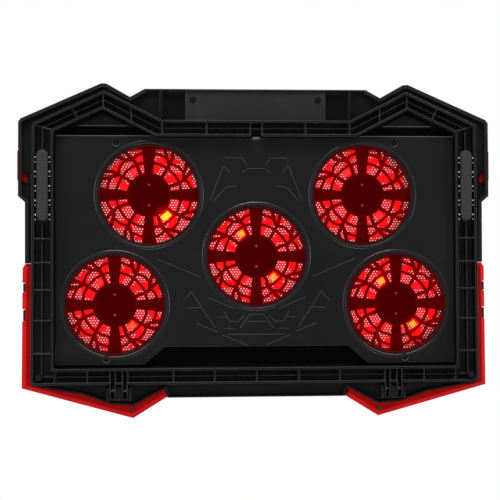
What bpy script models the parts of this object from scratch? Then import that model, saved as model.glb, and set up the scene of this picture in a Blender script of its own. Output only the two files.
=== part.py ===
"""Laptop cooling pad with five fans, a fold-out stand and a perforated metal deck.

The pad is modelled folded, in millimetres that are scaled to metres as each mesh is made.
+X is its width, +Y points to its back edge and +Z is up.  Z = 0 is the surface that it stands on.
"""
import math

import bmesh
import bpy
from mathutils import Matrix, Vector

MM = 0.001
GAP = 0.3                     # clearance between touching pieces

# ---- levels, from the table up -------------------------------------------------------------------
STAND_RIM_Z = 1.0             # lower edge of the stand's channel
STAND_TOP_Z = 13.0            # upper face of the stand
TUB_Z = 7.0                   # underside of the casing's tub
TUB_FLOOR_Z = 9.0
RIM_Z = 10.0                  # lower edge of the casing's outer rim
FLANGE_Z = 14.0
PARTING_Z = 16.0              # joint between the casing and the top shell
DECK_INNER_Z = 27.0
DECK_Z = 30.0                 # plane that the laptop rests on

# ---- housing -------------------------------------------------------------------------------------
RIM_WALL = 1.6
SHELL_WALL = 2.2
TRIM_BACK_Y = -11.0           # where the red corner trims begin
FRONT_Y = -124.5
TRIM_INNER_X = 189.5
ACCENT_HALF_WIDTH = 201.4     # over the side accents, the widest point

# Half outlines run from the back to the front on the +X side.
HOUSING_HALF = [
    (94.0, 137.0), (106.6, 130.0), (126.3, 141.2), (130.6, 141.5), (198.2, 111.5), (200.2, 108.6),
    (200.4, 46.0), (194.6, 41.0), (194.6, TRIM_BACK_Y + GAP), (189.2, TRIM_BACK_Y + GAP), (189.2, -113.6),
    (146.1, -120.9), (123.0, -129.1), (104.1, -130.7), (77.6, -116.5), (75.6, FRONT_Y),
]
TRIM_OUTER = [(195.2, TRIM_BACK_Y), (197.5, -14.6), (198.4, -116.2), (104.7, -142.2), (76.0, FRONT_Y)]
TRIM_OUTER_LOW = [(192.2, -13.6), (193.5, -16.4), (194.4, -113.2), (105.4, -137.8), (79.0, -121.8)]
TRIM_INNER = [
    (78.0, -117.0), (104.0, -131.0), (123.0, -129.5), (146.0, -121.3),
    (TRIM_INNER_X, -114.0), (TRIM_INNER_X, TRIM_BACK_Y),
]
TRIM_Z = 11.0
TRIM_TOP_Z = 29.0
TRIM_CHAMFER = 4.0
TRIM_NOTCHES = [(-35.0, -27.0), (-59.6, -49.2)]
TRIM_NOTCH_X = 194.6
TRIM_SCREW = (104.4, -134.6)
TRIM_SCREW_RADIUS = 1.6

ACCENT_THICKNESS = 0.7
ACCENT_CLIP_Y = (57.6, 66.0)
ACCENT_TIE_Y = (60.4, 63.6)

# ---- casing --------------------------------------------------------------------------------------
TUB_HALF = [
    (83.8, 94.8), (88.4, 97.0), (169.0, 97.0), (169.0, -95.9), (95.0, -95.9), (78.0, -81.3),
]
TUB_WALL = 2.0
CASING_SCREWS = [(118.0, 91.0), (-118.0, 91.0), (126.3, -91.2), (-126.3, -91.2)]
BOSS_RADIUS = 2.3
PEAK_LEDGE = [(107.7, 105.2), (150.7, 105.2), (129.0, 116.0)]
BAR_RIB_X = 80.7
SNAP_TAB = (3.5, 92.8, 95.9)  # half width, front and back of the tab that clicks into the stand

# ---- control bar at the back ---------------------------------------------------------------------
COVER_HALF_WIDTH = 59.8
COVER_Y = (110.6, 135.1)
COVER_Z = (11.5, 13.7)
COVER_SCREWS = [(53.4, 128.2), (-53.4, 128.2)]
BOARD_Z = (17.6, 19.2)
USB_X = 19.0
USB_SIZE = (13.2, 14.0, 5.8)
USB_Z = 19.5
DIAL_AT = (45.0, 131.0)
DIAL_RADIUS = 7.4
BUTTON_X = -45.0
BACK_WALL_Y = 137.0

# ---- fans ----------------------------------------------------------------------------------------
FANS = [(90.6, 46.8), (-90.6, 46.8), (0.0, -5.2), (119.4, -45.7), (-119.4, -45.7)]
OPENING_RADIUS = 41.0
HUB_RADIUS = 18.7
ARM_WIDTHS = (6.5, 12.5)      # at the hub and at the rim
BLADES = 9
BLADE_TIP = 39.0
ROTOR_HUB_RADIUS = 16.5
ROTOR_Z = (11.5, 24.0)
STATOR_RADIUS = 14.0
LED_BEARINGS = (141.0, 326.0)
WIRE_RADIUS = 0.6
WIRE_Z = 10.0
WIRE_TOP_Z = 18.4

# ---- mesh panel ----------------------------------------------------------------------------------
PANEL_HALF = [(150.0, 91.0), (170.0, 76.0), (170.0, -74.0), (154.0, -90.5)]
PANEL_Z = (29.1, 29.9)
PANEL_LEDGE = 3.0

# ---- stand ---------------------------------------------------------------------------------------
STAND_OUTER_HALF = [(79.6, 109.2), (127.3, 133.6), (187.0, 106.0), (188.6, -107.0)]
STAND_INNER_HALF = [(84.7, 95.7), (128.8, 118.4), (169.7, 99.6), (169.8, -98.7)]
STAND_FRONT_Y = -112.0
STAND_CORNER = 5.0
STAND_WALL = 2.0
STAND_WEB_Z = 11.0
RIB = 1.1
RIB_Z = 2.6
SIDE_RIBS = (10.0, -10.0, -33.0, -58.6, -86.0)
FRONT_RIBS = (0.0, 35.5, 70.3, 142.0, 169.0)
BACK_RIBS = (5.0, 41.8, 79.4)
FOOT_X = 178.8
FOOT_Y = (24.4, 84.4)
FOOT_WIDTH = 9.5
FOOT_TEETH = 5
FOOT_TEETH_Y = 52.0           # middle of the row of teeth
FOOT_TEETH_PITCH = 12.0
GLIDE_AT = (182.0, -106.0)
GLIDE_RADIUS = 2.6

# ---- stand hinge ---------------------------------------------------------------------------------
HINGE_X = 115.7
HINGE_Y = -117.6
HINGE_Z = 7.0
HINGE_RIBS = (-7.3, -2.9, 2.9, 7.3)
HINGE_BREAK_Y = (-107.5, -102.5)   # here the middle rib is interrupted
PRONG_OFFSET = 5.1
PRONG_WIDTH = 5.0
PRONG_REACH = 8.5
PRONG_HOLLOW_HALF = 1.5
PIN_RADIUS = 1.5
EAR_RADIUS = 4.8

# ---- laptop stoppers -----------------------------------------------------------------------------
STOPPER_X = 46.0
STOPPER_AXIS = (-114.0, 26.2)
STOPPER_WIDTH = 40.0
STOPPER_LENGTH = 15.0


# ==== helpers =====================================================================================
def material(name, colour, roughness, metallic=0.0):
    """A plain Principled material."""
    made = bpy.data.materials.new(name)
    made.use_nodes = True
    shader = made.node_tree.nodes["Principled BSDF"]
    shader.inputs["Base Color"].default_value = (*colour, 1.0)
    shader.inputs["Roughness"].default_value = roughness
    shader.inputs["Metallic"].default_value = metallic
    return made


def both_sides(half):
    """A whole outline from the half that is listed at +X."""
    return half + [(-x, y) for x, y in reversed(half)]


def mirrored(points, side):
    """The same points on the +X side (side 1) or on the -X side (side -1)."""
    return [(side * x, y) for x, y in points]


def anticlockwise(points):
    """The outline in the order that makes its upper face look up."""
    area = sum(a[0] * b[1] - b[0] * a[1] for a, b in zip(points, points[1:] + points[:1]))
    return points if area > 0 else points[::-1]


def offset(points, distance):
    """The outline moved outwards (or inwards, if negative) with mitred corners."""
    ring = [Vector(point) for point in anticlockwise(points)]
    moved = []
    for i, here in enumerate(ring):
        along_in = (here - ring[i - 1]).normalized()
        along_out = (ring[(i + 1) % len(ring)] - here).normalized()
        normal_in = Vector((along_in.y, -along_in.x))
        normal_out = Vector((along_out.y, -along_out.x))
        mitre = (normal_in + normal_out) / (1.0 + normal_in.dot(normal_out))
        moved.append(tuple(here + mitre * distance))
    return moved


def arc(centre, radius, start, end, steps):
    """Points on an arc, with angles in degrees."""
    points = []
    for i in range(steps + 1):
        angle = math.radians(start + (end - start) * i / steps)
        points.append((centre[0] + radius * math.cos(angle), centre[1] + radius * math.sin(angle)))
    return points


def circle(centre, radius, segments):
    """A closed round outline."""
    return arc(centre, radius, 0.0, 360.0, segments)[:-1]


def mesh_object(name, vertices, faces):
    """An object from millimetre vertices, with its faces turned outwards."""
    mesh = bpy.data.meshes.new(name)
    mesh.from_pydata([(x * MM, y * MM, z * MM) for x, y, z in vertices], [], faces)
    form = bmesh.new()
    form.from_mesh(mesh)
    bmesh.ops.recalc_face_normals(form, faces=form.faces)
    form.to_mesh(mesh)
    form.free()
    made = bpy.data.objects.new(name, mesh)
    bpy.context.scene.collection.objects.link(made)
    return made


def loft(layers):
    """A closed solid through outlines of equal length, each given as (points, z)."""
    rings = [[(x, y, z) for x, y in anticlockwise(list(points))] for points, z in layers]
    count = len(rings[0])
    faces = [tuple(reversed(range(count)))]
    for level in range(len(rings) - 1):
        low = level * count
        for i in range(count):
            j = (i + 1) % count
            faces.append((low + i, low + j, low + count + j, low + count + i))
    faces.append(tuple(range((len(rings) - 1) * count, len(rings) * count)))
    return mesh_object("solid", [vertex for ring in rings for vertex in ring], faces)


def prism(points, low, high):
    """An upright extrusion of an outline."""
    return loft([(points, low), (points, high)])


def box(x, y, z):
    """A box from its ranges along X, Y and Z."""
    return prism([(x[0], y[0]), (x[1], y[0]), (x[1], y[1]), (x[0], y[1])], z[0], z[1])


def disc(centre, radius, low, high, segments=24):
    """An upright round solid."""
    return prism(circle(centre, radius, segments), low, high)


def bar(start, end, width, low, high):
    """A straight bar of rectangular section between two plan points."""
    along = (Vector(end) - Vector(start)).normalized()
    across = Vector((-along.y, along.x)) * width / 2
    a = Vector(start)
    b = Vector(end)
    return prism([tuple(a - across), tuple(b - across), tuple(b + across), tuple(a + across)], low, high)


def side_profile(points, x_range):
    """A solid with its outline in the YZ plane, extruded along X."""
    made = prism(points, x_range[0], x_range[1])
    turn = Matrix(((0, 0, 1, 0), (1, 0, 0, 0), (0, 1, 0, 0), (0, 0, 0, 1)))
    made.data.transform(turn)
    return made


def combine(target, tools, operation):
    """Joins the tools to the target, or cuts them from it, and leaves one plain mesh."""
    group = bpy.data.collections.new("tools")
    bpy.context.scene.collection.children.link(group)
    for tool in tools:
        bpy.context.scene.collection.objects.unlink(tool)
        group.objects.link(tool)
    step = target.modifiers.new("combine", "BOOLEAN")
    step.operation = operation
    step.operand_type = "COLLECTION"
    step.collection = group
    step.solver = "EXACT"
    step.use_self = True
    graph = bpy.context.evaluated_depsgraph_get()
    shaped = bpy.data.meshes.new_from_object(target.evaluated_get(graph))
    target.modifiers.clear()
    target.data = shaped
    for tool in tools:
        bpy.data.objects.remove(tool)
    bpy.data.collections.remove(group)
    return target


def join(target, tools):
    """The union of the solids."""
    return combine(target, tools, "UNION")


def cut(target, tools):
    """The target without the tools."""
    return combine(target, tools, "DIFFERENCE")


def finish(made, name, look, origin=(0.0, 0.0, 0.0)):
    """Names a solid, cleans its mesh, sets its material and puts its origin where it turns."""
    form = bmesh.new()
    form.from_mesh(made.data)
    bmesh.ops.remove_doubles(form, verts=form.verts, dist=0.00001)
    bmesh.ops.dissolve_degenerate(form, edges=form.edges, dist=0.000005)
    form.to_mesh(made.data)
    form.free()
    made.name = name
    made.data.name = name
    made.data.materials.clear()
    made.data.materials.append(look)
    made.data.transform(Matrix.Translation([-value * MM for value in origin]))
    made.location = [value * MM for value in origin]
    made.data.shade_smooth()
    made.data.set_sharp_from_angle(angle=math.radians(35))
    return made


def bearing(centre, radius, degrees):
    """The plan point at a compass bearing from +Y towards -X."""
    angle = math.radians(degrees)
    return (centre[0] - radius * math.sin(angle), centre[1] + radius * math.cos(angle))


HOUSING = both_sides(HOUSING_HALF)
TUB = both_sides(TUB_HALF)
PANEL = both_sides(PANEL_HALF)


def stand_outline(half, front_y, corner):
    """An outline of the stand ring, with rounded front corners."""
    side_x = half[-1][0]
    rounded = arc((side_x - corner, front_y + corner), corner, 0.0, -90.0, 4)
    return both_sides(half[:-1] + rounded)


STAND_OUTER = stand_outline(STAND_OUTER_HALF, STAND_FRONT_Y, STAND_CORNER)
STAND_INNER = both_sides(STAND_INNER_HALF)


# ==== casing and shell ============================================================================
def rim_and_flange():
    """The casing's flat flange with the low rim around it, open where the stand folds in."""
    body = prism(HOUSING, RIM_Z, PARTING_Z)
    inside = prism(offset(HOUSING, -RIM_WALL), RIM_Z - 1, FLANGE_Z)
    stand_room = prism(offset(STAND_OUTER, 1.0), RIM_Z - 1, FLANGE_Z)
    cut(body, [join(inside, [stand_room])])
    ribs = [box((side * BAR_RIB_X - 1, side * BAR_RIB_X + 1), (111.0, 136.0), (RIM_Z + 0.5, PARTING_Z - 1))
            for side in (1, -1)]
    ledges = [prism(mirrored(PEAK_LEDGE, side), RIM_Z - 0.5, PARTING_Z - 1) for side in (1, -1)]
    return join(body, ribs + ledges)


def fan_arms(centre):
    """The four tapered arms and the hub disc of one fan opening."""
    near, far = ARM_WIDTHS
    reach = OPENING_RADIUS + 2
    solids = [disc(centre, HUB_RADIUS, TUB_Z, TUB_FLOOR_Z, 24)]
    for quarter in range(4):
        along = Vector((math.cos(quarter * math.pi / 2), math.sin(quarter * math.pi / 2)))
        across = Vector((-along.y, along.x))
        middle = Vector(centre)
        start = middle + along * (HUB_RADIUS - 3)
        end = middle + along * reach
        outline = [start - across * near / 2, end - across * far / 2,
                   end + across * far / 2, start + across * near / 2]
        solids.append(prism([tuple(point) for point in outline], TUB_Z, TUB_FLOOR_Z))
    return solids


def hinge_ears(centre_x):
    """The pillar between the stand's prongs and the two ears outside them."""
    low = HINGE_Z - EAR_RADIUS
    outline = [(HINGE_Y + EAR_RADIUS, FLANGE_Z + 1), (HINGE_Y - PRONG_REACH, FLANGE_Z + 1),
               (HINGE_Y - PRONG_REACH, low + 2), (HINGE_Y - PRONG_REACH + 2, low)]
    outline += arc((HINGE_Y, HINGE_Z), EAR_RADIUS, 270.0, 360.0, 5)
    inner = PRONG_OFFSET - PRONG_WIDTH / 2 - 0.4
    outer = PRONG_OFFSET + PRONG_WIDTH / 2 + 0.4
    spans = [(-inner, inner), (outer, outer + 2.6), (-outer - 2.6, -outer)]
    return [side_profile(outline, (centre_x + a, centre_x + b)) for a, b in spans]


def bottom_casing(look):
    """The casing: rim, flange, tub, fan grilles, hinge ears and screw pads."""
    body = rim_and_flange()
    tub = prism(TUB, TUB_Z, FLANGE_Z + 0.5)
    ears = hinge_ears(HINGE_X) + hinge_ears(-HINGE_X)
    join(body, [tub] + ears)
    cut(body, [prism(offset(TUB, -TUB_WALL), TUB_FLOOR_Z, PARTING_Z + 1)])
    cut(body, [disc(fan, OPENING_RADIUS, TUB_Z - 1, TUB_FLOOR_Z + 1, 36) for fan in FANS])
    join(body, [solid for fan in FANS for solid in fan_arms(fan)])
    join(body, [disc(at, 5.0, TUB_FLOOR_Z - 0.5, TUB_FLOOR_Z + 3.0, 12) for at in CASING_SCREWS])
    half, front, back = SNAP_TAB
    tab = side_profile([(front, TUB_Z + 0.5), (back, TUB_Z + 0.5), (back, TUB_Z - 1.2),
                        (front + 1.6, TUB_Z - 1.2)], (-half, half))
    join(body, [tab])
    holes = [disc(at, 1.4, FLANGE_Z - 1, PARTING_Z + 1, 8) for at in COVER_SCREWS]
    for at in CASING_SCREWS:
        holes += [disc(at, 2.9, TUB_Z - 1, TUB_FLOOR_Z + 0.6, 16),
                  disc(at, 1.6, TUB_Z, TUB_FLOOR_Z + 4, 8)]
    window = box((-46.0, 46.0), (114.0, 131.0), (FLANGE_Z - 1, PARTING_Z + 1))
    bores = [pin_solid(side * HINGE_X, PIN_RADIUS + GAP, 13.0) for side in (1, -1)]
    tie_slots = [box(sorted((side * 190.0, side * (ACCENT_HALF_WIDTH + 1))),
                     (ACCENT_TIE_Y[0] - 0.4, ACCENT_TIE_Y[1] + 0.4), (RIM_Z - 1, FLANGE_Z))
                 for side in (1, -1)]
    cut(body, holes + [window] + bores + tie_slots)
    return finish(body, "bottom_casing", look)


def pin_solid(centre_x, radius, half_length):
    """A round bar along the stand's hinge axis."""
    outline = circle((HINGE_Y, HINGE_Z), radius, 12)
    return side_profile(outline, (centre_x - half_length, centre_x + half_length))


def top_shell(look):
    """The upper shell: deck with the panel opening, outer walls, bosses and back-edge ports."""
    body = loft([(HOUSING, PARTING_Z + GAP), (HOUSING, DECK_Z - 1.5), (offset(HOUSING, -1.5), DECK_Z)])
    cut(body, [prism(offset(HOUSING, -SHELL_WALL), PARTING_Z - 1, DECK_INNER_Z)])
    opening = prism(offset(PANEL, -PANEL_LEDGE), DECK_INNER_Z - 1, DECK_Z + 1)
    rebate = prism(offset(PANEL, GAP), PANEL_Z[0] - GAP, DECK_Z + 1)
    ports = [box((side * USB_X - 7.0, side * USB_X + 7.0), (BACK_WALL_Y - 3, BACK_WALL_Y + 1),
                 (USB_Z - 0.4, USB_Z + USB_SIZE[2] + 0.4)) for side in (1, -1)]
    dial_slot = box((DIAL_AT[0] - 7.5, DIAL_AT[0] + 7.5), (BACK_WALL_Y - 3, BACK_WALL_Y + 1), (20.0, 25.0))
    button_hole = box((BUTTON_X - 4.4, BUTTON_X + 4.4), (BACK_WALL_Y - 3, BACK_WALL_Y + 1), (20.1, 24.9))
    cut(body, [opening, rebate, dial_slot, button_hole] + ports)
    half = STOPPER_WIDTH / 2 + 0.6
    axis_y, axis_z = STOPPER_AXIS
    cheeks = []
    for side in (1, -1):
        for end in (-1, 1):
            inner = side * STOPPER_X + end * half
            span = sorted((inner, inner + end * 3.5))
            cheeks.append(box(span, (axis_y - 3.5, axis_y + 3.5), (22.6, DECK_INNER_Z + 0.5)))
    bosses = [disc(at, BOSS_RADIUS, TUB_FLOOR_Z + 3.3, DECK_INNER_Z + 0.5, 16) for at in CASING_SCREWS]
    join(body, cheeks + bosses)
    pockets = [box((side * STOPPER_X - half, side * STOPPER_X + half),
                   (axis_y - 3.9, axis_y + STOPPER_LENGTH + 1.2), (DECK_INNER_Z - 6, DECK_Z + 1))
               for side in (1, -1)]
    pilots = [disc(at, 1.5, TUB_FLOOR_Z + 2, 24.0, 12) for at in CASING_SCREWS]
    pin_holes = [stopper_pin_solid(side * STOPPER_X, 1.2, half + 3.0) for side in (1, -1)]
    cut(body, pockets + pilots + pin_holes)
    return finish(body, "top_shell", look)


def mesh_panel(look):
    """The perforated sheet over the fans, plain here."""
    return finish(prism(PANEL, *PANEL_Z), "mesh_panel", look)


def control_cover(look):
    """The plate under the control board, with two sunk screw seats."""
    body = box((-COVER_HALF_WIDTH, COVER_HALF_WIDTH), COVER_Y, COVER_Z)
    seats = []
    for at in COVER_SCREWS:
        seats += [disc(at, 2.8, COVER_Z[0] - 1, COVER_Z[0] + 1.0, 16),
                  disc(at, 1.4, COVER_Z[0], COVER_Z[1] + 1, 8)]
    cut(body, seats)
    return finish(body, "control_cover", look)


def screw(name, at, head_radius, head_z, tip_z, look):
    """A pan-head screw, driven in from below."""
    body = disc(at, 1.1, head_z, tip_z, 8)
    join(body, [disc(at, head_radius, head_z, head_z + 1.5, 12)])
    return finish(body, name, look)


def screws(look):
    """Every screw of the pad."""
    for number, at in enumerate(CASING_SCREWS, 1):
        screw(f"casing_screw_{number}", at, 2.5, TUB_Z + 0.7, 23.0, look)
    for number, at in enumerate(COVER_SCREWS, 1):
        screw(f"cover_screw_{number}", at, 2.4, COVER_Z[0] - 0.8, PARTING_Z - 0.3, look)
    x, y = TRIM_SCREW
    for name, side in (("left", 1), ("right", -1)):
        screw(f"trim_screw_{name}", (side * x, y), TRIM_SCREW_RADIUS, TRIM_Z - 0.8, TRIM_Z + 7.5, look)


def corner_trim(name, side, look):
    """A red trim around a front corner, chamfered below, with two notches in its side."""
    full = TRIM_OUTER + TRIM_INNER
    low = TRIM_OUTER_LOW + TRIM_INNER
    body = loft([(mirrored(low, side), TRIM_Z), (mirrored(full, side), TRIM_Z + TRIM_CHAMFER),
                 (mirrored(full, side), TRIM_TOP_Z)])
    cutters = []
    for start, end in TRIM_NOTCHES:
        span = sorted((side * TRIM_NOTCH_X, side * (TRIM_NOTCH_X + 6)))
        cutters.append(box(span, (start, end), (TRIM_Z - 1, TRIM_TOP_Z + 1)))
    at = (side * TRIM_SCREW[0], TRIM_SCREW[1])
    cutters += [disc(at, TRIM_SCREW_RADIUS + 0.35, TRIM_Z - 1, TRIM_Z + 1.0, 12),
                disc(at, 1.4, TRIM_Z, TRIM_Z + 8, 8)]
    cut(body, cutters)
    return finish(body, name, look)


def side_accent(name, side, look):
    """A red strip on the side wall, with its clip showing below."""
    edge = ACCENT_HALF_WIDTH
    wall = edge - ACCENT_THICKNESS
    outline = [(wall, 85.0), (edge, 84.0), (edge, 60.0), (wall, 59.0)]
    body = prism(mirrored(outline, side), 12.0, 27.0)
    clip = box(sorted((side * 193.0, side * 197.8)), ACCENT_CLIP_Y, (12.4, FLANGE_Z - GAP))
    tie = box(sorted((side * 197.0, side * (wall + 0.3))), ACCENT_TIE_Y, (12.4, FLANGE_Z - GAP))
    join(body, [clip, tie])
    return finish(body, name, look)


# ==== electrics ===================================================================================
def control_board(look):
    """The circuit board with a few block-like components and the dial's post."""
    body = box((-54.0, 54.0), (111.6, 133.6), BOARD_Z)
    top = BOARD_Z[1] - 0.2
    parts = [box((-36.0, -28.0), (116.0, 122.0), (top, top + 3.0)),
             box((-8.0, 6.0), (114.0, 119.0), (top, top + 2.0)),
             disc((32.0, 118.0), 3.0, top, top + 6.0, 16),
             disc(DIAL_AT, 1.6, top, 24.0, 12),
             box((BUTTON_X - 3.0, BUTTON_X + 3.0), (122.6, 127.6), (top, 24.0))]
    join(body, parts)
    return finish(body, "control_board", look)


def usb_socket(name, centre_x, look):
    """A USB-A socket: a metal sleeve, open to the back, with its tongue."""
    width, depth, height = USB_SIZE
    back = BACK_WALL_Y - 0.4
    body = box((centre_x - width / 2, centre_x + width / 2), (back - depth, back), (USB_Z, USB_Z + height))
    hollow = box((centre_x - width / 2 + 0.5, centre_x + width / 2 - 0.5), (back - depth + 2.5, back + 1),
                 (USB_Z + 0.5, USB_Z + height - 0.5))
    cut(body, [hollow])
    tongue = box((centre_x - 5.0, centre_x + 5.0), (back - depth + 2.0, back - 1.5),
                 (USB_Z + height - 2.4, USB_Z + height - 1.0))
    join(body, [tongue])
    return finish(body, name, look)


def speed_dial(look):
    """The knurled thumb wheel of the fan speed."""
    outline = []
    teeth = 24
    for i in range(teeth * 2):
        radius = DIAL_RADIUS if i % 2 else DIAL_RADIUS - 0.5
        outline.append(bearing(DIAL_AT, radius, 180.0 * i / teeth))
    body = prism(outline, 20.6, 24.4)
    cut(body, [disc(DIAL_AT, 1.6 + GAP, 19.0, 23.9 + GAP + 0.1, 12)])
    return finish(body, "speed_dial", look, (DIAL_AT[0], DIAL_AT[1], 22.5))


def light_button(look):
    """The push button that switches the fan lights."""
    body = box((BUTTON_X - 4.0, BUTTON_X + 4.0), (129.0, BACK_WALL_Y + 1.4), (20.5, 24.5))
    return finish(body, "light_button", look, (BUTTON_X, BACK_WALL_Y, 22.5))


def fan_stator(name, centre, look):
    """The motor's fixed half: base, bearing post and wound core."""
    body = disc(centre, STATOR_RADIUS, TUB_FLOOR_Z + GAP, TUB_FLOOR_Z + 1.6, 16)
    join(body, [disc(centre, 4.0, TUB_FLOOR_Z + 1, 20.0, 8), disc(centre, 12.0, 12.4, 17.4, 12)])
    cut(body, [disc(centre, 1.6, 11.4, 21.0, 8)])
    return finish(body, name, look)


def led_board(name, centre, look):
    """The ring board beside the hub, with two lamps that reach past the hub disc."""
    body = disc(centre, HUB_RADIUS - 0.4, TUB_FLOOR_Z + GAP, TUB_FLOOR_Z + 1.3, 20)
    cut(body, [disc(centre, STATOR_RADIUS + 0.7, TUB_FLOOR_Z, TUB_FLOOR_Z + 2, 20)])
    lamps = []
    for degrees in LED_BEARINGS:
        start = bearing(centre, HUB_RADIUS - 2.5, degrees)
        end = bearing(centre, HUB_RADIUS + 5.6, degrees)
        lamps.append(bar(start, end, 5.0, TUB_FLOOR_Z + GAP, TUB_FLOOR_Z + 1.3))
        lamp_start = bearing(centre, HUB_RADIUS + 1.6, degrees)
        lamps.append(bar(lamp_start, end, 5.0, TUB_Z + 1.0, TUB_FLOOR_Z + 0.8))
    join(body, lamps)
    return finish(body, name, look)


def rotor_blade(centre, turn):
    """One curved, pitched blade of a rotor."""
    steps = 3
    vertices = []
    for i in range(steps + 1):
        part = i / steps
        radius = ROTOR_HUB_RADIUS - 1.2 + (BLADE_TIP - ROTOR_HUB_RADIUS + 1.2) * part
        lead = turn + 26.0 * part * part
        width = 13.0 + 4.0 * part
        for low in (0.0, 0.9):
            vertices.append((*bearing(centre, radius, lead), 13.0 + low))
            vertices.append((*bearing(centre, radius, lead + width * 1.6), 21.0 + low))
    faces = [(0, 2, 3, 1), (4 * steps, 4 * steps + 1, 4 * steps + 3, 4 * steps + 2)]
    for i in range(steps):
        a = 4 * i
        b = a + 4
        faces += [(a, a + 1, b + 1), (a, b + 1, b), (a + 2, b + 3, a + 3), (a + 2, b + 2, b + 3),
                  (a, b, b + 2, a + 2), (a + 1, a + 3, b + 3, b + 1)]
    return mesh_object("blade", vertices, faces)


def fan_rotor(name, centre, look):
    """The hub cup with its shaft and blades, turning about +Z."""
    body = disc(centre, ROTOR_HUB_RADIUS, *ROTOR_Z, 24)
    join(body, [rotor_blade(centre, 360.0 * i / BLADES) for i in range(BLADES)])
    cut(body, [disc(centre, ROTOR_HUB_RADIUS - 2.0, ROTOR_Z[0] - 1, ROTOR_Z[1] - 1.6, 16)])
    join(body, [disc(centre, 1.2, 12.0, ROTOR_Z[1] - 1, 6)])
    return finish(body, name, look, (centre[0], centre[1], ROTOR_Z[0]))


def wire_route(number, centre):
    """The points of one fan's cable: along an arm, over the tub's floor and up to the board."""
    x, y = centre
    side = 1 if x > 0 else -1
    up_y = 91.3
    if number == 3:
        plan = [(x, y + 20.0), (x, 40.0), (x, 70.0), (x, up_y - 2)]
    elif y > 0:
        plan = [(x, y + 20.0), (x, y + 36.0), (x - side * 4, up_y - 2), (side * 62.0, up_y),
                (side * 50.0, up_y)]
    else:
        plan = [(x - side * 20.0, y), (x - side * 41.0, y), (side * 61.0, -20.0), (side * 45.0, 34.0),
                (side * 40.0, 66.0), (side * 34.0, up_y - 2)]
    end_x = plan[-1][0]
    risen = [(end_x, up_y, WIRE_Z + 2), (end_x, up_y, 16.6), (end_x, 93.2, WIRE_TOP_Z - 0.3),
             (end_x, 99.0, WIRE_TOP_Z), (end_x, 111.2, WIRE_TOP_Z)]
    return [(px, py, WIRE_Z) for px, py in plan] + risen


def fan_wire(name, points, look):
    """A thin cable through the given points."""
    curve = bpy.data.curves.new(name, "CURVE")
    curve.dimensions = "3D"
    curve.bevel_depth = WIRE_RADIUS * MM
    curve.bevel_resolution = 1
    curve.use_fill_caps = True
    spline = curve.splines.new("POLY")
    spline.points.add(len(points) - 1)
    for place, (x, y, z) in zip(spline.points, points):
        place.co = (x * MM, y * MM, z * MM, 1.0)
    made = bpy.data.objects.new(name, curve)
    bpy.context.scene.collection.objects.link(made)
    made.data.materials.append(look)
    return made


# ==== stand =======================================================================================
def stand_ribs():
    """The stiffening ribs inside the stand's channel."""
    ribs = []
    low, high = RIB_Z, STAND_WEB_Z + 0.5
    outer_x = STAND_OUTER_HALF[-1][0] - 1
    inner_x = STAND_INNER_HALF[-1][0] + 1
    for side in (1, -1):
        for y in SIDE_RIBS:
            ribs.append(bar((side * inner_x, y), (side * outer_x, y), RIB, low, high))
        for number in range(FOOT_TEETH):
            middle = FOOT_TEETH_Y + (number - (FOOT_TEETH - 1) / 2) * FOOT_TEETH_PITCH
            for step in (-2.0, 2.0):
                y = middle + step
                ribs.append(bar((side * inner_x, y), (side * outer_x, y), RIB, low, high))
        for x in FRONT_RIBS:
            if x or side > 0:
                ribs.append(bar((side * x, STAND_FRONT_Y + 1), (side * x, -98.9), RIB, low, high))
        for step in HINGE_RIBS:
            x = side * (HINGE_X + step)
            ribs.append(bar((x, STAND_FRONT_Y + 1), (x, -98.9), RIB, low, high))
        for x in BACK_RIBS:
            ribs.append(bar((side * x, 97.6), (side * x, 108.6), RIB, low, high))
        ribs.append(bar((side * 105.0, 107.4), (side * 105.0, 121.2), RIB, low, high))
        ribs.append(bar((side * 128.3, 119.4), (side * 128.3, 131.8), RIB, low, high))
        ribs.append(bar((side * 149.5, 110.4), (side * 154.3, 119.6), RIB, low, high))
        ribs.append(bar((side * 170.9, 100.8), (side * 185.8, 105.2), RIB, low, high))
    return ribs


def middle_rib():
    """The rib that runs along the middle of the channel, all the way round."""
    middle = [(82.0, 102.8), (128.3, 126.4), (178.7, 103.0), (180.0, -105.6)]
    ring = both_sides(middle)
    body = prism(offset(ring, RIB / 2), RIB_Z + 1.5, STAND_WEB_Z + 0.5)
    return cut(body, [prism(offset(ring, -RIB / 2), RIB_Z, STAND_WEB_Z + 1)])


def prong(centre_x):
    """One hollow hinge prong with a rounded end, ready for the pin."""
    outline = [(STAND_FRONT_Y + 1.5, HINGE_Z + 6), (STAND_FRONT_Y + 1.5, HINGE_Z - 6)]
    for i in range(11):
        angle = math.radians(270.0 - 180.0 * i / 10)
        outline.append((HINGE_Y + PRONG_REACH * math.cos(angle), HINGE_Z + 6 * math.sin(angle)))
    half = PRONG_WIDTH / 2
    return side_profile(outline, (centre_x - half, centre_x + half))


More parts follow.
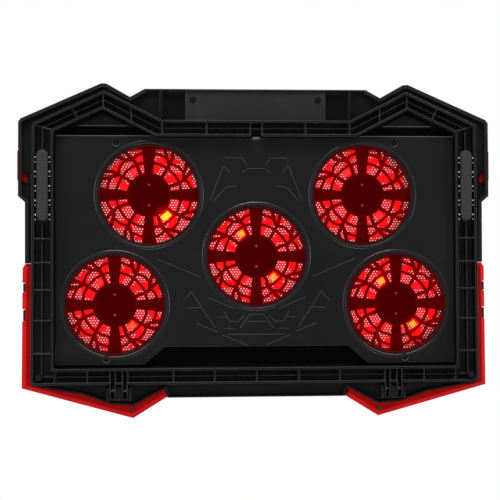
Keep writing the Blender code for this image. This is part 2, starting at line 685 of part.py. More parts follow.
def stand_frame(look):
    """The fold-out ring: a channel open downwards, with ribs, foot pockets and hinge prongs."""
    body = prism(STAND_OUTER, STAND_RIM_Z, STAND_TOP_Z)
    cut(body, [prism(STAND_INNER, STAND_RIM_Z - 1, STAND_TOP_Z + 1)])
    channel = prism(offset(STAND_OUTER, -STAND_WALL), STAND_RIM_Z - 1, STAND_WEB_Z)
    cut(channel, [prism(offset(STAND_INNER, STAND_WALL), STAND_RIM_Z - 2, STAND_WEB_Z + 1)])
    cut(body, [channel])
    prongs = [prong(side * HINGE_X + step) for side in (1, -1) for step in (-PRONG_OFFSET, PRONG_OFFSET)]
    join(body, stand_ribs() + [middle_rib()] + prongs)
    half = FOOT_WIDTH / 2 + 0.4
    rooms = [box((side * FOOT_X - half, side * FOOT_X + half), (FOOT_Y[0] - 0.4, FOOT_Y[1] + 0.4),
                 (STAND_RIM_Z - 1, STAND_WEB_Z)) for side in (1, -1)]
    rooms += [disc((side * GLIDE_AT[0], GLIDE_AT[1]), GLIDE_RADIUS + 0.4, 0.0, STAND_WEB_Z, 12)
              for side in (1, -1)]
    rooms += [box((-4.5, 4.5), (95.0, 98.4), (0.0, STAND_WEB_Z - 1))]
    for side in (1, -1):
        for step in (-PRONG_OFFSET, PRONG_OFFSET):
            x = side * HINGE_X + step
            rooms.append(box((x - PRONG_HOLLOW_HALF, x + PRONG_HOLLOW_HALF),
                             (HINGE_Y - PRONG_REACH + 1.4, STAND_FRONT_Y + STAND_WALL + 1.0),
                             (0.0, HINGE_Z + 3.5)))
        rooms.append(pin_solid(side * HINGE_X, PIN_RADIUS + GAP, 9.0))
        for left, right in zip(HINGE_RIBS, HINGE_RIBS[1:]):
            span = (side * HINGE_X + left + RIB / 2, side * HINGE_X + right - RIB / 2)
            rooms.append(box(span, HINGE_BREAK_Y, (0.0, STAND_WEB_Z)))
    cut(body, rooms)
    return finish(body, "stand_frame", look, (0.0, HINGE_Y, HINGE_Z))


def rubber_foot(name, side, look):
    """A long rubber foot with rounded ends, set in the stand's channel."""
    half = FOOT_WIDTH / 2
    x = side * FOOT_X
    outline = arc((x, FOOT_Y[1] - half), half, 0.0, 180.0, 8)
    outline += arc((x, FOOT_Y[0] + half), half, 180.0, 360.0, 8)
    body = prism(outline, 0.0, STAND_WEB_Z - GAP)
    return finish(body, name, look)


def front_glide(name, side, look):
    """A small round glide in a front corner of the stand."""
    body = disc((side * GLIDE_AT[0], GLIDE_AT[1]), GLIDE_RADIUS, 0.0, STAND_WEB_Z - GAP, 16)
    return finish(body, name, look)


# ==== laptop stoppers =============================================================================
def stopper_pin_solid(centre_x, radius, half_length):
    """A round bar along a stopper's axis."""
    return side_profile(circle(STOPPER_AXIS, radius, 12), (centre_x - half_length, centre_x + half_length))


def laptop_stopper(name, centre_x, look):
    """The flap that folds up to hold a laptop's front edge."""
    axis_y, axis_z = STOPPER_AXIS
    half = STOPPER_WIDTH / 2
    body = box((centre_x - half, centre_x + half), (axis_y, axis_y + STOPPER_LENGTH),
               (axis_z + 0.4, DECK_Z - 0.4))
    barrel = side_profile(circle(STOPPER_AXIS, 2.6, 20), (centre_x - half, centre_x + half))
    join(body, [barrel])
    cut(body, [stopper_pin_solid(centre_x, 1.2, half + 1)])
    return finish(body, name, look, (centre_x, axis_y, axis_z))


# ==== the whole pad ===============================================================================
def build():
    """Makes every piece of the cooling pad."""
    black = material("black_abs", (0.012, 0.012, 0.013), 0.45)
    grey = material("dark_grey_abs", (0.022, 0.022, 0.024), 0.5)
    red = material("red_gloss", (0.55, 0.004, 0.006), 0.25)
    rubber = material("grey_rubber", (0.05, 0.05, 0.052), 0.8)
    steel = material("black_steel", (0.03, 0.03, 0.032), 0.4, 1.0)
    bright = material("bright_steel", (0.6, 0.6, 0.62), 0.3, 1.0)
    blade = material("red_blade", (0.8, 0.01, 0.01), 0.2)
    lamp = material("led_board", (0.9, 0.5, 0.1), 0.4)
    board = material("green_board", (0.01, 0.12, 0.03), 0.5)
    wire = material("black_wire", (0.01, 0.01, 0.01), 0.6)

    bottom_casing(black)
    top_shell(black)
    mesh_panel(steel)
    control_cover(grey)
    screws(steel)
    for name, side in (("left", 1), ("right", -1)):
        corner_trim(f"corner_trim_{name}", side, red)
        side_accent(f"side_accent_{name}", side, red)
        rubber_foot(f"rubber_foot_{name}", side, rubber)
        front_glide(f"front_glide_{name}", side, rubber)
        usb_socket(f"usb_socket_{name}", side * USB_X, bright)
        laptop_stopper(f"laptop_stopper_{name}", side * STOPPER_X, black)
        finish(pin_solid(side * HINGE_X, PIN_RADIUS, 10.6), f"hinge_pin_{name}", bright)
        pin = stopper_pin_solid(side * STOPPER_X, 0.95, STOPPER_WIDTH / 2 + 3)
        finish(pin, f"stopper_pin_{name}", bright)
    control_board(board)
    speed_dial(black)
    light_button(black)
    for number, centre in enumerate(FANS, 1):
        fan_stator(f"fan_stator_{number}", centre, steel)
        led_board(f"led_board_{number}", centre, lamp)
        fan_rotor(f"fan_rotor_{number}", centre, blade)
        fan_wire(f"fan_wire_{number}", wire_route(number, centre), wire)
    stand_frame(black)


for leftover in list(bpy.data.objects):
    bpy.data.objects.remove(leftover)
build()
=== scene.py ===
"""Looks of the laptop cooling pad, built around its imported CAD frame."""
import math

import bmesh
import bpy
import numpy as np
from mathutils import Matrix, Vector


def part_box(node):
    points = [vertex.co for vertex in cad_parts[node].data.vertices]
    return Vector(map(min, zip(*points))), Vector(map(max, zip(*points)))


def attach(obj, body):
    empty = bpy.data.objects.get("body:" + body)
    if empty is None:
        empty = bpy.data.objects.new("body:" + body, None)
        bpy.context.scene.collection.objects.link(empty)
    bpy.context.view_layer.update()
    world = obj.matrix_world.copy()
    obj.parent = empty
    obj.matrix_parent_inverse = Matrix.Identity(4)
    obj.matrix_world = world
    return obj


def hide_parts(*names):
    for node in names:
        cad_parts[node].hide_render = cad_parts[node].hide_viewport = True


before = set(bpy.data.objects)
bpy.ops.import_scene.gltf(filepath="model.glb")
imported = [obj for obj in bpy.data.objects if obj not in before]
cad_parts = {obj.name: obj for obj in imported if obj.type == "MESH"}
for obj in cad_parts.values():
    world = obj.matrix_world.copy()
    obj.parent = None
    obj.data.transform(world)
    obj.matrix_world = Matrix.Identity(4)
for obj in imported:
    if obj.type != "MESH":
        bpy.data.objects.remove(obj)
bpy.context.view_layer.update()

MM = 0.001  # sizes are in millimetres unless a comment says metres

# ---- the fans, as the frame places them ----
FAN_COUNT = 5
FANS = []
for fan_number in range(1, FAN_COUNT + 1):
    low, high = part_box(f"fan_stator_{fan_number}")
    FANS.append(((low.x + high.x) / 2 / MM, (low.y + high.y) / 2 / MM))

# ---- the casing and the parts on it ----
TUB_Z = 7.0
TUB_THICKNESS = 2.0
RIM_Z = 10.0
LEDGE_Z = 9.5
RIM_HALF = [
    (94.0, 137.0), (106.6, 130.0), (126.3, 141.2), (130.6, 141.5), (198.2, 111.5), (200.2, 108.6),
    (200.4, 46.0), (194.6, 41.0), (194.6, -10.5),
]
LIP_WIDTH = 3.1
TUB_BACK_RIM = [(88.8, 96.7), (168.6, 96.7)]
TUB_FRONT_RIM = [(-94.6, -95.4), (-77.6, -80.9), (77.6, -80.9), (94.6, -95.4)]
LEDGE_RIM = [(108.4, 105.5), (150.0, 105.5)]
TAB_FACE = [(-2.9, 93.9), (2.9, 93.9), (2.4, 95.9), (-2.4, 95.9)]
TRIM_NOTCHES = [(-35.0, -27.0), (-59.6, -49.2)]
GRIP_X = (194.7, 196.4)
TRIM_SCREW_X = 104.4
SPLIT_COLUMNS = [-126.2, -118.1, 118.1, 126.2]  # extra seams in the casing's flat faces
SPLIT_ROWS = [-12.5, -9.0]  # past the rim's step beside the trims
SPLIT_BEYOND_X = 186.0
SEAM_OFFSET = 0.13  # keeps a seam off the fans' own corners
WELD = 0.000002  # metres

# ---- the fan openings, grilles, blades and lamps ----
OPENING_RADIUS = 41.0
STEP_RADIUS = 43.6
STEP_DEPTH = 0.5
BEZEL_INNER = (41.0, 40.6, 40.0, 40.0, 39.4)
BEAD_RADII = (43.8, 46.2)
HUB_RADIUS = 18.7
HUB_HOLE_AT = 8.7
ARM_WIDTHS = (6.5, 12.5)
RIB_SPARE = 0.2  # how far the ribs stay below the casing's inner face
RING_RIBS = [  # (degrees, part of the opening's radius)
    [(3.0, 0.665), (35.7, 0.665)], [(35.7, 0.665), (68.4, 0.672)], [(68.4, 0.672), (87.0, 0.668)],
    [(3.0, 0.868), (14.0, 0.862), (26.0, 0.845)], [(34.5, 0.765), (45.0, 0.835), (57.0, 0.855)],
    [(66.4, 0.80), (73.0, 0.85), (85.0, 0.88)],
]
BRANCH_RIBS = [
    [(37.0, 0.42), (35.7, 0.62), (34.3, 0.744)], [(34.3, 0.744), (26.0, 0.842), (18.8, 1.02)],
    [(34.3, 0.744), (32.4, 0.91), (28.8, 1.02)], [(67.3, 0.42), (68.6, 0.677), (65.9, 0.786)],
    [(65.9, 0.786), (57.4, 0.852), (50.3, 1.02)], [(65.9, 0.786), (62.4, 0.94), (60.6, 1.02)],
]
RIBS = ((BRANCH_RIBS, 3.0, 0.0), (RING_RIBS, 2.35, 0.2))  # paths, width and inset
CHORD_DEGREES = 9.0
ROTOR_HUB_RADIUS = 16.5
HUB_CUP = [(0, 22.4), (14.5, 22.4), (14.5, 11.6), (15.0, 11.5), (16.3, 11.6), (16.5, 12.2), (16.5, 22.6),
           (15.4, 23.8), (13.8, 24.0), (0, 24.0)]
BLADES = 9
BLADE_STEPS = (12, 6)  # along and across
BLADE_TIP = 38.9
BLADE_SWEEP = 26.0  # degrees
BLADE_WIDTH = (16.0, 2.0)  # degrees at the hub, and what the tip adds
BLADE_Z = 13.55
BLADE_RISE = 8.0
BLADE_BULGE = 0.45
LED_BEARINGS = (141.0, 326.0)
LED_LEVELS = [(3, 0), (0, 0), (2, 2), (1, 0), (2, 2)]
LAMP_SPAN = (HUB_RADIUS + 1.6, HUB_RADIUS + 6.8)
LAMP_WIDTHS = (5.6, 8.0)

# ---- the stand's teeth and the perforated panel ----
TOOTH_COUNT = 5
TOOTH_PITCH = 12.0
TOOTH_MIDDLE = 52.0
TOOTH_TIPS = ((-2.0, 0.36), (2.0, 0.52))  # place along a tooth, and radius, of each painted glint
TOOTH_X = (184.7, 172.9)
TOOTH_Z = 2.6
MESH_PITCH = 2.4
MESH_HOLE = 0.47
MESH_REACH = (190, 110)
PANEL_MARGIN = 3.0
PANEL_CORNERS = (150.0, 154.0)  # |x| where the cut corners start, at the back and front
PANEL_EDGE = [(149.9, 90.9), (169.9, 75.9), (169.9, -73.9), (153.9, -90.4)]
PANEL_INNER = [(148.2, 86.6), (165.4, 73.6), (165.4, -72.0), (151.8, -86.0)]


# ==== materials ====
CLOUD = (28.0, 4.0)  # noise scale, detail and roughness
FINE_GRAIN = (1500.0, 2.0)
SCUFF = (140.0, 5.0, 0.7)
MOULD_BUMP = (0.35, 0.00004)  # strength, and depth in metres
FAINT_BUMP = (0.2, 0.00003)


def put(socket, value):
    """Sets a socket to a value, or links it."""
    if isinstance(value, bpy.types.NodeSocket):
        socket.id_data.links.new(value, socket)
    else:
        socket.default_value = value


def add_node(tree, kind, inputs=None, **settings):
    """A node with its settings, and its inputs as values or as links."""
    node = tree.nodes.new(kind)
    for key, value in settings.items():
        setattr(node, key, value)
    for key, value in (inputs or {}).items():
        put(node.inputs[key], value)
    return node


class Nodes:
    """A short way to write a material's node tree."""

    def __init__(self, name):
        self.material = bpy.data.materials.new(name)
        self.material.use_nodes = True
        self.tree = self.material.node_tree
        self.shader = self.tree.nodes["Principled BSDF"]

    def add(self, kind, inputs=None, **settings):
        """A node in the material."""
        return add_node(self.tree, kind, inputs, **settings)

    def set(self, **inputs):
        """Sets the shader's inputs, whose names are written with underscores."""
        for key, value in inputs.items():
            put(self.shader.inputs[key.replace("_", " ")], value)

    def place(self):
        """The surface's own coordinates, in metres."""
        return self.add("ShaderNodeTexCoord").outputs["Object"]

    def axes(self, vector=None):
        """The X, Y and Z of a vector, or of the surface's own coordinates."""
        return self.add("ShaderNodeSeparateXYZ", {0: vector or self.place()}).outputs

    def facing(self):
        """The X, Y and Z of the way that the surface faces."""
        return self.axes(self.add("ShaderNodeTexCoord").outputs["Normal"])

    def noise(self, scale, detail=3.0, roughness=0.55, vector=None):
        """Fractal noise between 0 and 1."""
        inputs = {"Vector": vector or self.place(), "Scale": scale, "Detail": detail, "Roughness": roughness}
        return self.add("ShaderNodeTexNoise", inputs).outputs["Fac"]

    def ramp(self, factor, *stops):
        """A ramp through (position, colour) stops, where a plain number is a grey."""
        node = self.add("ShaderNodeValToRGB", {"Fac": factor})
        elements = node.color_ramp.elements
        while len(elements) < len(stops):
            elements.new(0.5)
        for element, (position, colour) in zip(elements, stops):
            element.position = position
            element.color = (*colour, 1.0) if isinstance(colour, tuple) else (colour, colour, colour, 1.0)
        return node.outputs["Color"]

    def mottle(self, noise, low, high):
        """A ramp between two colours over the middle of a noise's range."""
        return self.ramp(noise, (0.3, low), (0.7, high))

    def span(self, factor, low, high, to_low=0.0, to_high=1.0):
        """A factor mapped linearly to another range."""
        inputs = {"Value": factor, "From Min": low, "From Max": high, "To Min": to_low, "To Max": to_high}
        return self.add("ShaderNodeMapRange", inputs).outputs["Result"]

    def vary(self, noise, low, high):
        """A value that follows the middle of a noise's range."""
        return self.span(noise, 0.3, 0.7, low, high)

    def between(self, value, rise, fall, level=1.0):
        """A level that fades in over one range of the value and out over another."""
        return self.times(self.span(value, *rise, 0.0, level), self.span(value, *fall, 1.0, 0.0))

    def math(self, operation, a, b=0.0):
        """One arithmetic step."""
        node = self.add("ShaderNodeMath", {0: a, 1: b}, operation=operation)
        return node.outputs[0]

    def times(self, product, *factors):
        """The product of several values."""
        for factor in factors:
            product = self.math("MULTIPLY", product, factor)
        return product

    def vector(self, operation, a, b, output="Vector"):
        """One step of vector arithmetic."""
        return self.add("ShaderNodeVectorMath", {0: a, 1: b}, operation=operation).outputs[output]

    def scaled(self, colour, factor):
        """A colour times a factor."""
        return self.add("ShaderNodeVectorMath", {0: colour, 3: factor}, operation="SCALE").outputs["Vector"]

    def flat(self, vector):
        """A vector without its Z."""
        return self.vector("MULTIPLY", vector, (1.0, 1.0, 0.0))

    def distance(self, vector, point):
        """The distance in metres to a point that is given in millimetres."""
        return self.vector("DISTANCE", vector, tuple(value * MM for value in point), "Value")

    def bump(self, height, strength, distance):
        """A bump from a height."""
        inputs = {"Height": height, "Strength": strength, "Distance": distance}
        return self.add("ShaderNodeBump", inputs).outputs["Normal"]

    def radius(self, vector):
        """The distance from the object's own vertical axis, in metres."""
        return self.distance(self.flat(vector), (0.0, 0.0, 0.0))


def material(fill_in):
    """Makes a function that fills in a node tree into one that gives a new material of some name."""
    def make(name, *details):
        made = Nodes(name)
        fill_in(made, *details)
        return made.material
    return make


def grey(value):
    """A neutral colour, the least bit warm."""
    return (value * 1.02, value, value * 0.99)


def clouded(made, noise, low, middle, high):
    """A ramp through three greys of moulded plastic."""
    return made.ramp(noise, (0.3, grey(low)), (0.55, grey(middle)), (0.75, grey(high)))


def reds(stops):
    """Ramp stops of pure red light from (position, level) pairs."""
    return [(position, (level, 0.0, 0.0)) for position, level in stops]


@material
def moulded_plastic(made, value, roughness, gloss=0.08):
    """Dark moulded plastic with a fine spark-eroded grain and faint handling marks."""
    colour = clouded(made, made.noise(*CLOUD), value * 0.82, value, value * 1.22)
    fine = made.noise(*FINE_GRAIN)
    scuff = made.noise(*SCUFF)
    rough = made.math("ADD", made.vary(scuff, roughness - 0.05, roughness + 0.06),
                      made.vary(fine, -0.03, 0.03))
    made.set(Base_Color=colour, Roughness=rough, Normal=made.bump(fine, *MOULD_BUMP),
             Specular_IOR_Level=gloss)


ACCENT_X = (0.193, 0.2014)  # |x| from a side accent's clip to its outer face, in metres
ACCENT_PAINTED_SHADES = ((0.0, 0.9), (0.5, 0.7), (0.6, 0.04), (0.86, 0.04), (0.90, 1.0))
CLIP_MIDDLE = (0.1953, 0.0616)  # |x| and y of the clip's painted oval of light
CLIP_HALF = (0.0024, 0.0043)
CLIP_LEAN = 0.2
CLIP_END_X = (0.198, 0.199)


def accent_painted_shade(made):
    """A side accent's painted light and shade: a lit oval on its clip, lighter towards its lower end, painted
    shadow between the clip and the wall, full on its face.
    """
    axes = made.axes()
    across = made.math("ABSOLUTE", axes["X"])
    zones = made.ramp(made.span(across, *ACCENT_X), *ACCENT_PAINTED_SHADES)
    along = made.math("SUBTRACT", axes["Y"], CLIP_MIDDLE[1])
    aside = made.math("SUBTRACT", made.math("SUBTRACT", across, CLIP_MIDDLE[0]), made.times(along, CLIP_LEAN))
    squares = [made.math("POWER", made.math("ABSOLUTE", made.math("DIVIDE", value, half)), 2.0)
               for value, half in zip((aside, along), CLIP_HALF)]
    lit_oval = made.span(made.math("ADD", *squares), 0.7, 1.1, 1.0, 0.06)
    clip_light = made.times(lit_oval, made.span(along, -0.002, 0.004, 0.7, 0.3))
    return made.times(zones, made.math("MAXIMUM", clip_light, made.span(across, *CLIP_END_X)))


@material
def red_gloss(made, shade_of=None):
    """Glossy red moulded plastic, with painted shade on its flat underside, and a painted shade of its own
    where one is given.
    """
    cloud = made.noise(40.0, 3.0)
    colour = made.mottle(cloud, (0.38, 0.0015, 0.002), (0.52, 0.0025, 0.003))
    # Painted shade: faces that look down are darker
    shade = made.span(made.facing()["Z"], -1.0, -0.8, 0.5, 1.0)
    if shade_of:
        shade = made.times(shade, shade_of(made))
    made.set(Base_Color=made.scaled(colour, shade), Roughness=made.vary(cloud, 0.26, 0.36),
             Normal=made.bump(made.noise(420.0, 2.0), 0.12, 0.00008), Specular_IOR_Level=0.05,
             Coat_Weight=0.02, Coat_Roughness=0.14)


@material
def rubber(made, value):
    """Grey rubber with a pebbled surface."""
    pebble = made.noise(750.0, 3.0, 0.6)
    made.set(Base_Color=made.ramp(pebble, (0.35, grey(value * 0.6)), (0.65, grey(value * 1.5))),
             Roughness=made.vary(pebble, 0.85, 0.7), Normal=made.bump(pebble, 0.5, 0.0001),
             Specular_IOR_Level=0.15)


@material
def metal(made, colour, roughness):
    """Machined metal with fine drawn lines along X."""
    stretched = made.add("ShaderNodeMapping", {"Vector": made.place(), "Scale": (0.08, 1.0, 1.0)})
    lines = made.noise(2400.0, 3.0, 0.6, stretched.outputs["Vector"])
    made.set(Base_Color=made.mottle(lines, tuple(c * 0.8 for c in colour), colour), Metallic=1.0,
             Roughness=made.vary(lines, roughness + 0.08, roughness - 0.04),
             Normal=made.bump(lines, 0.15, 0.00003))


# The red light, over the distance from a fan's axis, and each lamp's reach in mm and glow by its level.
GRILLE_GLOW = ((0.0, 0.055), (0.38, 0.057), (0.46, 0.10), (0.62, 0.17), (0.85, 0.16), (0.99, 0.10))
CASING_GLOW = ((0.80, 0.075), (0.83, 0.042), (0.86, 0.018), (0.90, 0.007), (0.94, 0.0015), (0.98, 0.0))
CASING_GLOW_REACH = 0.050
ARM_EDGE = (0.0045, 0.0068)
HALO_REACH = (0.0, 8.0, 11.0, 15.0)
HALO_GLOW = (0.0, 0.10, 0.25, 0.60)
HALO_CORE = 0.003
HALO_FALLOFF = 3.0


@material
def grille_plastic(made, levels):
    """The casing's plastic over a fan, glowing dark red, and brighter beside the lamps."""
    place = made.place()
    cloud = made.noise(60.0, 3.0)
    fine = made.noise(*FINE_GRAIN)
    far = made.math("DIVIDE", made.radius(place), OPENING_RADIUS * MM)
    axes = made.axes(place)
    aside = made.math("MINIMUM", made.math("ABSOLUTE", axes["X"]), made.math("ABSOLUTE", axes["Y"]))
    arm = made.times(made.span(far, 0.44, 0.50, 0.0, 0.5), made.span(aside, *ARM_EDGE, 1.0, 0.0))
    glow = made.scaled(made.ramp(far, *reds(GRILLE_GLOW)), made.math("SUBTRACT", 1.0, arm))
    for degrees, level in zip(LED_BEARINGS, levels):
        if level:
            lamp = (*bearing((0.0, 0.0), sum(LAMP_SPAN) / 2, degrees), TUB_Z)
            near = made.span(made.distance(place, lamp), HALO_REACH[level] * MM, HALO_CORE)
            fading = made.times(made.math("POWER", near, HALO_FALLOFF), HALO_GLOW[level])
            halo = made.add("ShaderNodeCombineColor", {"Red": fading}).outputs["Color"]
            glow = made.vector("ADD", glow, halo)
    made.set(Base_Color=made.mottle(cloud, (0.003, 0.0001, 0.0001), (0.006, 0.0002, 0.0002)),
             Roughness=made.vary(fine, 0.5, 0.6), Normal=made.bump(fine, *FAINT_BUMP), Emission_Color=glow,
             Emission_Strength=1.0, Specular_IOR_Level=0.0)


@material
def bezel_plastic(made):
    """The thin ring inside a fan opening, faintly lit red."""
    fine = made.noise(*FINE_GRAIN)
    made.set(Base_Color=made.mottle(fine, (0.004, 0.002, 0.002), (0.006, 0.003, 0.003)),
             Roughness=made.vary(fine, 0.5, 0.6), Normal=made.bump(fine, *FAINT_BUMP),
             Emission_Color=made.mottle(fine, (0.055, 0.0, 0.0), (0.065, 0.0, 0.0)), Emission_Strength=1.0,
             Specular_IOR_Level=0.0)


# Where shade is painted into the casing's colour, in metres: a pair is the stretch over which a zone fades in
# or out.
RECESS_Z = (0.0085, 0.0095)
FRONT_BAYS_Y = (-0.1135, -0.079)
FRONT_BAYS = ((0.0, 0.0), (0.03, 1.0), (0.35, 0.5), (0.5, 1.0), (0.95, 1.0), (1.0, 0.0))
FRONT_BAY_SHADE = 0.25
BACK_RIM_Y = (0.1340, 0.1344)
BACK_RIM_X = (0.0596, 0.0600)
GUTTER_Y = (0.0972, 0.0976), (0.1045, 0.1051)
GUTTER_X = (0.172, 0.174)
GUTTER_SHADOW = 0.72
BACK_BAYS_Y = (0.105, 0.107), (0.1325, 0.134)
BACK_BAYS_X = (0.05, 0.11)
BACK_BAY_SHADES = ((0.15, 0.0), (0.17, 0.5), (0.48, 0.5), (0.52, 0.25), (0.85, 0.15), (0.9, 0.0))
BEAD_SHADOW = (0.860, 0.875)


@material
def casing_plastic(made):
    """The casing's textured plastic, with painted shade in its recesses, painted lighter along the back rim,
    and a faint red light painted around each fan.
    """
    place = made.place()
    cloud = made.noise(15.0, 6.0)
    fine = made.noise(*FINE_GRAIN)
    scuff = made.noise(*SCUFF)
    far = made.math("DIVIDE", fan_distance(made, place), CASING_GLOW_REACH)
    axes = made.axes(place)
    sideways = made.math("ABSOLUTE", axes["X"])
    deep = made.span(axes["Z"], *RECESS_Z)
    front = made.ramp(made.span(axes["Y"], *FRONT_BAYS_Y), *FRONT_BAYS)
    shade = made.span(made.times(deep, front), 0.0, 1.0, 1.0, FRONT_BAY_SHADE)
    rim = made.times(made.span(axes["Y"], *BACK_RIM_Y, 0.0, 1.4), made.span(sideways, *BACK_RIM_X, 1.0, 0.0))
    shade = made.math("ADD", shade, rim)
    gutter = made.times(made.between(axes["Y"], *GUTTER_Y, GUTTER_SHADOW),
                        made.span(sideways, *GUTTER_X, 1.0, 0.0))
    bays = made.ramp(made.span(sideways, *BACK_BAYS_X), *BACK_BAY_SHADES)
    back_shadow = made.math("MAXIMUM", gutter, made.times(bays, made.between(axes["Y"], *BACK_BAYS_Y)))
    shade = made.times(shade, made.math("SUBTRACT", 1.0, made.times(deep, back_shadow)),
                       made.span(far, *BEAD_SHADOW, 0.55, 1.0))
    # The painted shade scales both the colour and the specular level
    made.set(Base_Color=made.scaled(clouded(made, cloud, 0.0042, 0.0055, 0.0075), shade),
             Roughness=made.math("ADD", made.vary(scuff, 0.40, 0.52), made.vary(fine, -0.03, 0.03)),
             Normal=made.bump(fine, *MOULD_BUMP), Specular_IOR_Level=made.times(shade, 0.08),
             Emission_Color=made.ramp(far, *reds(CASING_GLOW)), Emission_Strength=1.0)


EDGE_SPAN_Y = (-0.1, 0.11)  # the stretch that the edges' painted highlight levels run over, in metres
EDGE_HIGHLIGHTS = ((0.012, 0.008), (0.016, 0.10), (0.09, 0.10), (0.12, 0.03), (0.87, 0.03), (0.91, 0.15))
EDGE_LOW_Z = (0.0080, 0.0086)
FRONT_EDGE_Y = (-0.079, -0.078)


@material
def tub_edge(made):
    """The casing's rounded edges, with a painted highlight along the tub's back and front rims, brightest
    where an edge faces the back and dimmer on the deeper edges.
    """
    axes = made.axes()
    rims = made.ramp(made.span(axes["Y"], *EDGE_SPAN_Y), *EDGE_HIGHLIGHTS)
    low = made.span(axes["Z"], *EDGE_LOW_Z, 1.0, 0.2)
    # Painted highlight: edges that face +Y, towards the light at the back, are lighter, and so is the tub's
    # front edge
    turned = made.math("MAXIMUM", made.span(made.facing()["Y"], 0.1, 0.6, 0.14, 1.0),
                       made.span(axes["Y"], *FRONT_EDGE_Y, 0.6, 0.0))
    uneven = made.noise(260.0, 4.0, 0.6)
    level = made.times(rims, low, made.vary(uneven, 0.75, 1.2), turned)
    colour = made.add("ShaderNodeCombineColor", {"Red": level, "Green": level, "Blue": level})
    made.set(Base_Color=colour.outputs[0], Roughness=made.vary(uneven, 0.3, 0.4), Specular_IOR_Level=0.2)


RAIL_WEB_Z = (0.0100, 0.0105)
RAIL_WEB_X = (0.168, 0.172)


@material
def stand_plastic(made):
    """The stand's plastic, painted a little paler in the web of its side rails: painted light where that web
    is in shade.
    """
    axes = made.axes()
    lit_web = made.times(made.span(axes["Z"], *RAIL_WEB_Z),
                     made.span(made.math("ABSOLUTE", axes["X"]), *RAIL_WEB_X))
    colour = clouded(made, made.noise(*CLOUD), 0.0039, 0.0048, 0.0059)
    made.set(Base_Color=made.scaled(colour, made.span(lit_web, 0.0, 1.0, 1.0, 2.6)),
             Roughness=made.vary(made.noise(*SCUFF), 0.37, 0.48),
             Normal=made.bump(made.noise(*FINE_GRAIN), *MOULD_BUMP), Specular_IOR_Level=0.08)


@material
def glowing_blade(made):
    """Translucent red blade, lit from beside the hub."""
    far = made.span(made.radius(made.place()), ROTOR_HUB_RADIUS * MM, BLADE_TIP * MM)
    cloud = made.noise(90.0, 2.0)
    made.set(Base_Color=made.mottle(cloud, (0.5, 0.003, 0.004), (0.7, 0.006, 0.008)),
             Roughness=made.vary(cloud, 0.18, 0.3), Alpha=made.vary(cloud, 0.86, 0.93),
             Emission_Color=made.ramp(far, (0.0, (0.95, 0.008, 0.010)), (0.5, (0.98, 0.006, 0.009)),
                                      (1.0, (0.78, 0.004, 0.006))),
             Emission_Strength=0.95)


def fan_distance(made, place):
    """The plan distance to the nearest fan's axis, in metres."""
    flat = made.flat(place)
    nearest, *others = [made.distance(flat, (x, y, 0.0)) for x, y in FANS]
    for other in others:
        nearest = made.math("MINIMUM", nearest, other)
    return nearest


@material
def lit_sheet(made):
    """The underside of the perforated sheet: black, and lit red over each fan."""
    far = made.math("DIVIDE", fan_distance(made, made.place()), OPENING_RADIUS * MM)
    glow = made.ramp(made.math("DIVIDE", far, 1.3), (0.0, (0.75, 0.010, 0.016)), (0.45, (0.80, 0.012, 0.022)),
                     (0.74, (0.62, 0.010, 0.018)), (0.80, (0.22, 0.003, 0.005)), (0.92, (0.02, 0.0, 0.0)))
    cloud = made.noise(220.0, 3.0)
    made.set(Base_Color=made.mottle(cloud, grey(0.016), grey(0.024)), Metallic=0.4,
             Roughness=made.vary(cloud, 0.4, 0.55), Emission_Color=glow, Emission_Strength=1.0)


@material
def powder_coat(made):
    """Black powder coat with a fine orange peel."""
    peel = made.noise(1400.0, 2.0)
    made.set(Base_Color=made.mottle(made.noise(50.0, 3.0), grey(0.013), grey(0.02)), Metallic=0.3,
             Roughness=made.vary(peel, 0.36, 0.5), Normal=made.bump(peel, 0.3, 0.00005))


LAMP_COLOURS = [
    ((0.95, 0.006, 0.008), (0.98, 0.012, 0.010)),
    ((0.95, 0.05, 0.006), (1.0, 0.16, 0.010)),
    ((1.0, 0.26, 0.006), (1.0, 0.46, 0.020)),
    ((1.0, 0.60, 0.002), (1.0, 0.84, 0.020)),
    ((0.45, 0.004, 0.004), (0.62, 0.008, 0.008)),
]
HOLE_LIGHT_LEVEL = 4


@material
def lamp_glow(made, level):
    """A lamp's face, from red to yellow with its level."""
    edge, middle = LAMP_COLOURS[level]
    speck = made.add("ShaderNodeTexVoronoi", {"Vector": made.place(), "Scale": 620.0}).outputs["Distance"]
    pale, dark = (tuple(c * part for c in edge) for part in (0.2, 0.1))
    made.set(Base_Color=made.ramp(speck, (0.2, pale), (0.7, dark)),
             Roughness=made.span(speck, 0.2, 0.7, 0.3, 0.45),
             Emission_Color=made.ramp(speck, (0.25, middle), (0.6, edge)), Emission_Strength=1.0)


@material
def board_mask(made, colour, glow=0.0):
    """Solder mask with faint copper traces, lit red beside the lamps."""
    trace = made.add("ShaderNodeTexBrick", {"Vector": made.place(), "Scale": 160.0, "Mortar Size": 0.04,
                                            "Color1": (*colour, 1.0), "Color2": (*colour, 1.0),
                                            "Mortar": (*[c * 1.8 for c in colour], 1.0)})
    made.set(Base_Color=trace.outputs["Color"], Roughness=made.vary(made.noise(600.0, 2.0), 0.35, 0.5),
             Normal=made.bump(trace.outputs["Fac"], 0.3, 0.00005), Specular_IOR_Level=0.1,
             Emission_Color=(1.0, 0.01, 0.01, 1.0), Emission_Strength=glow)


@material
def winding(made):
    """The motor's base and windings."""
    wave = made.add("ShaderNodeTexWave", {"Vector": made.place(), "Scale": 900.0, "Distortion": 0.6},
                    bands_direction="Z").outputs["Fac"]
    made.set(Base_Color=made.ramp(wave, (0.2, (0.10, 0.03, 0.012)), (0.8, (0.32, 0.12, 0.04))),
             Roughness=made.span(wave, 0.0, 1.0, 0.5, 0.3), Metallic=0.7)


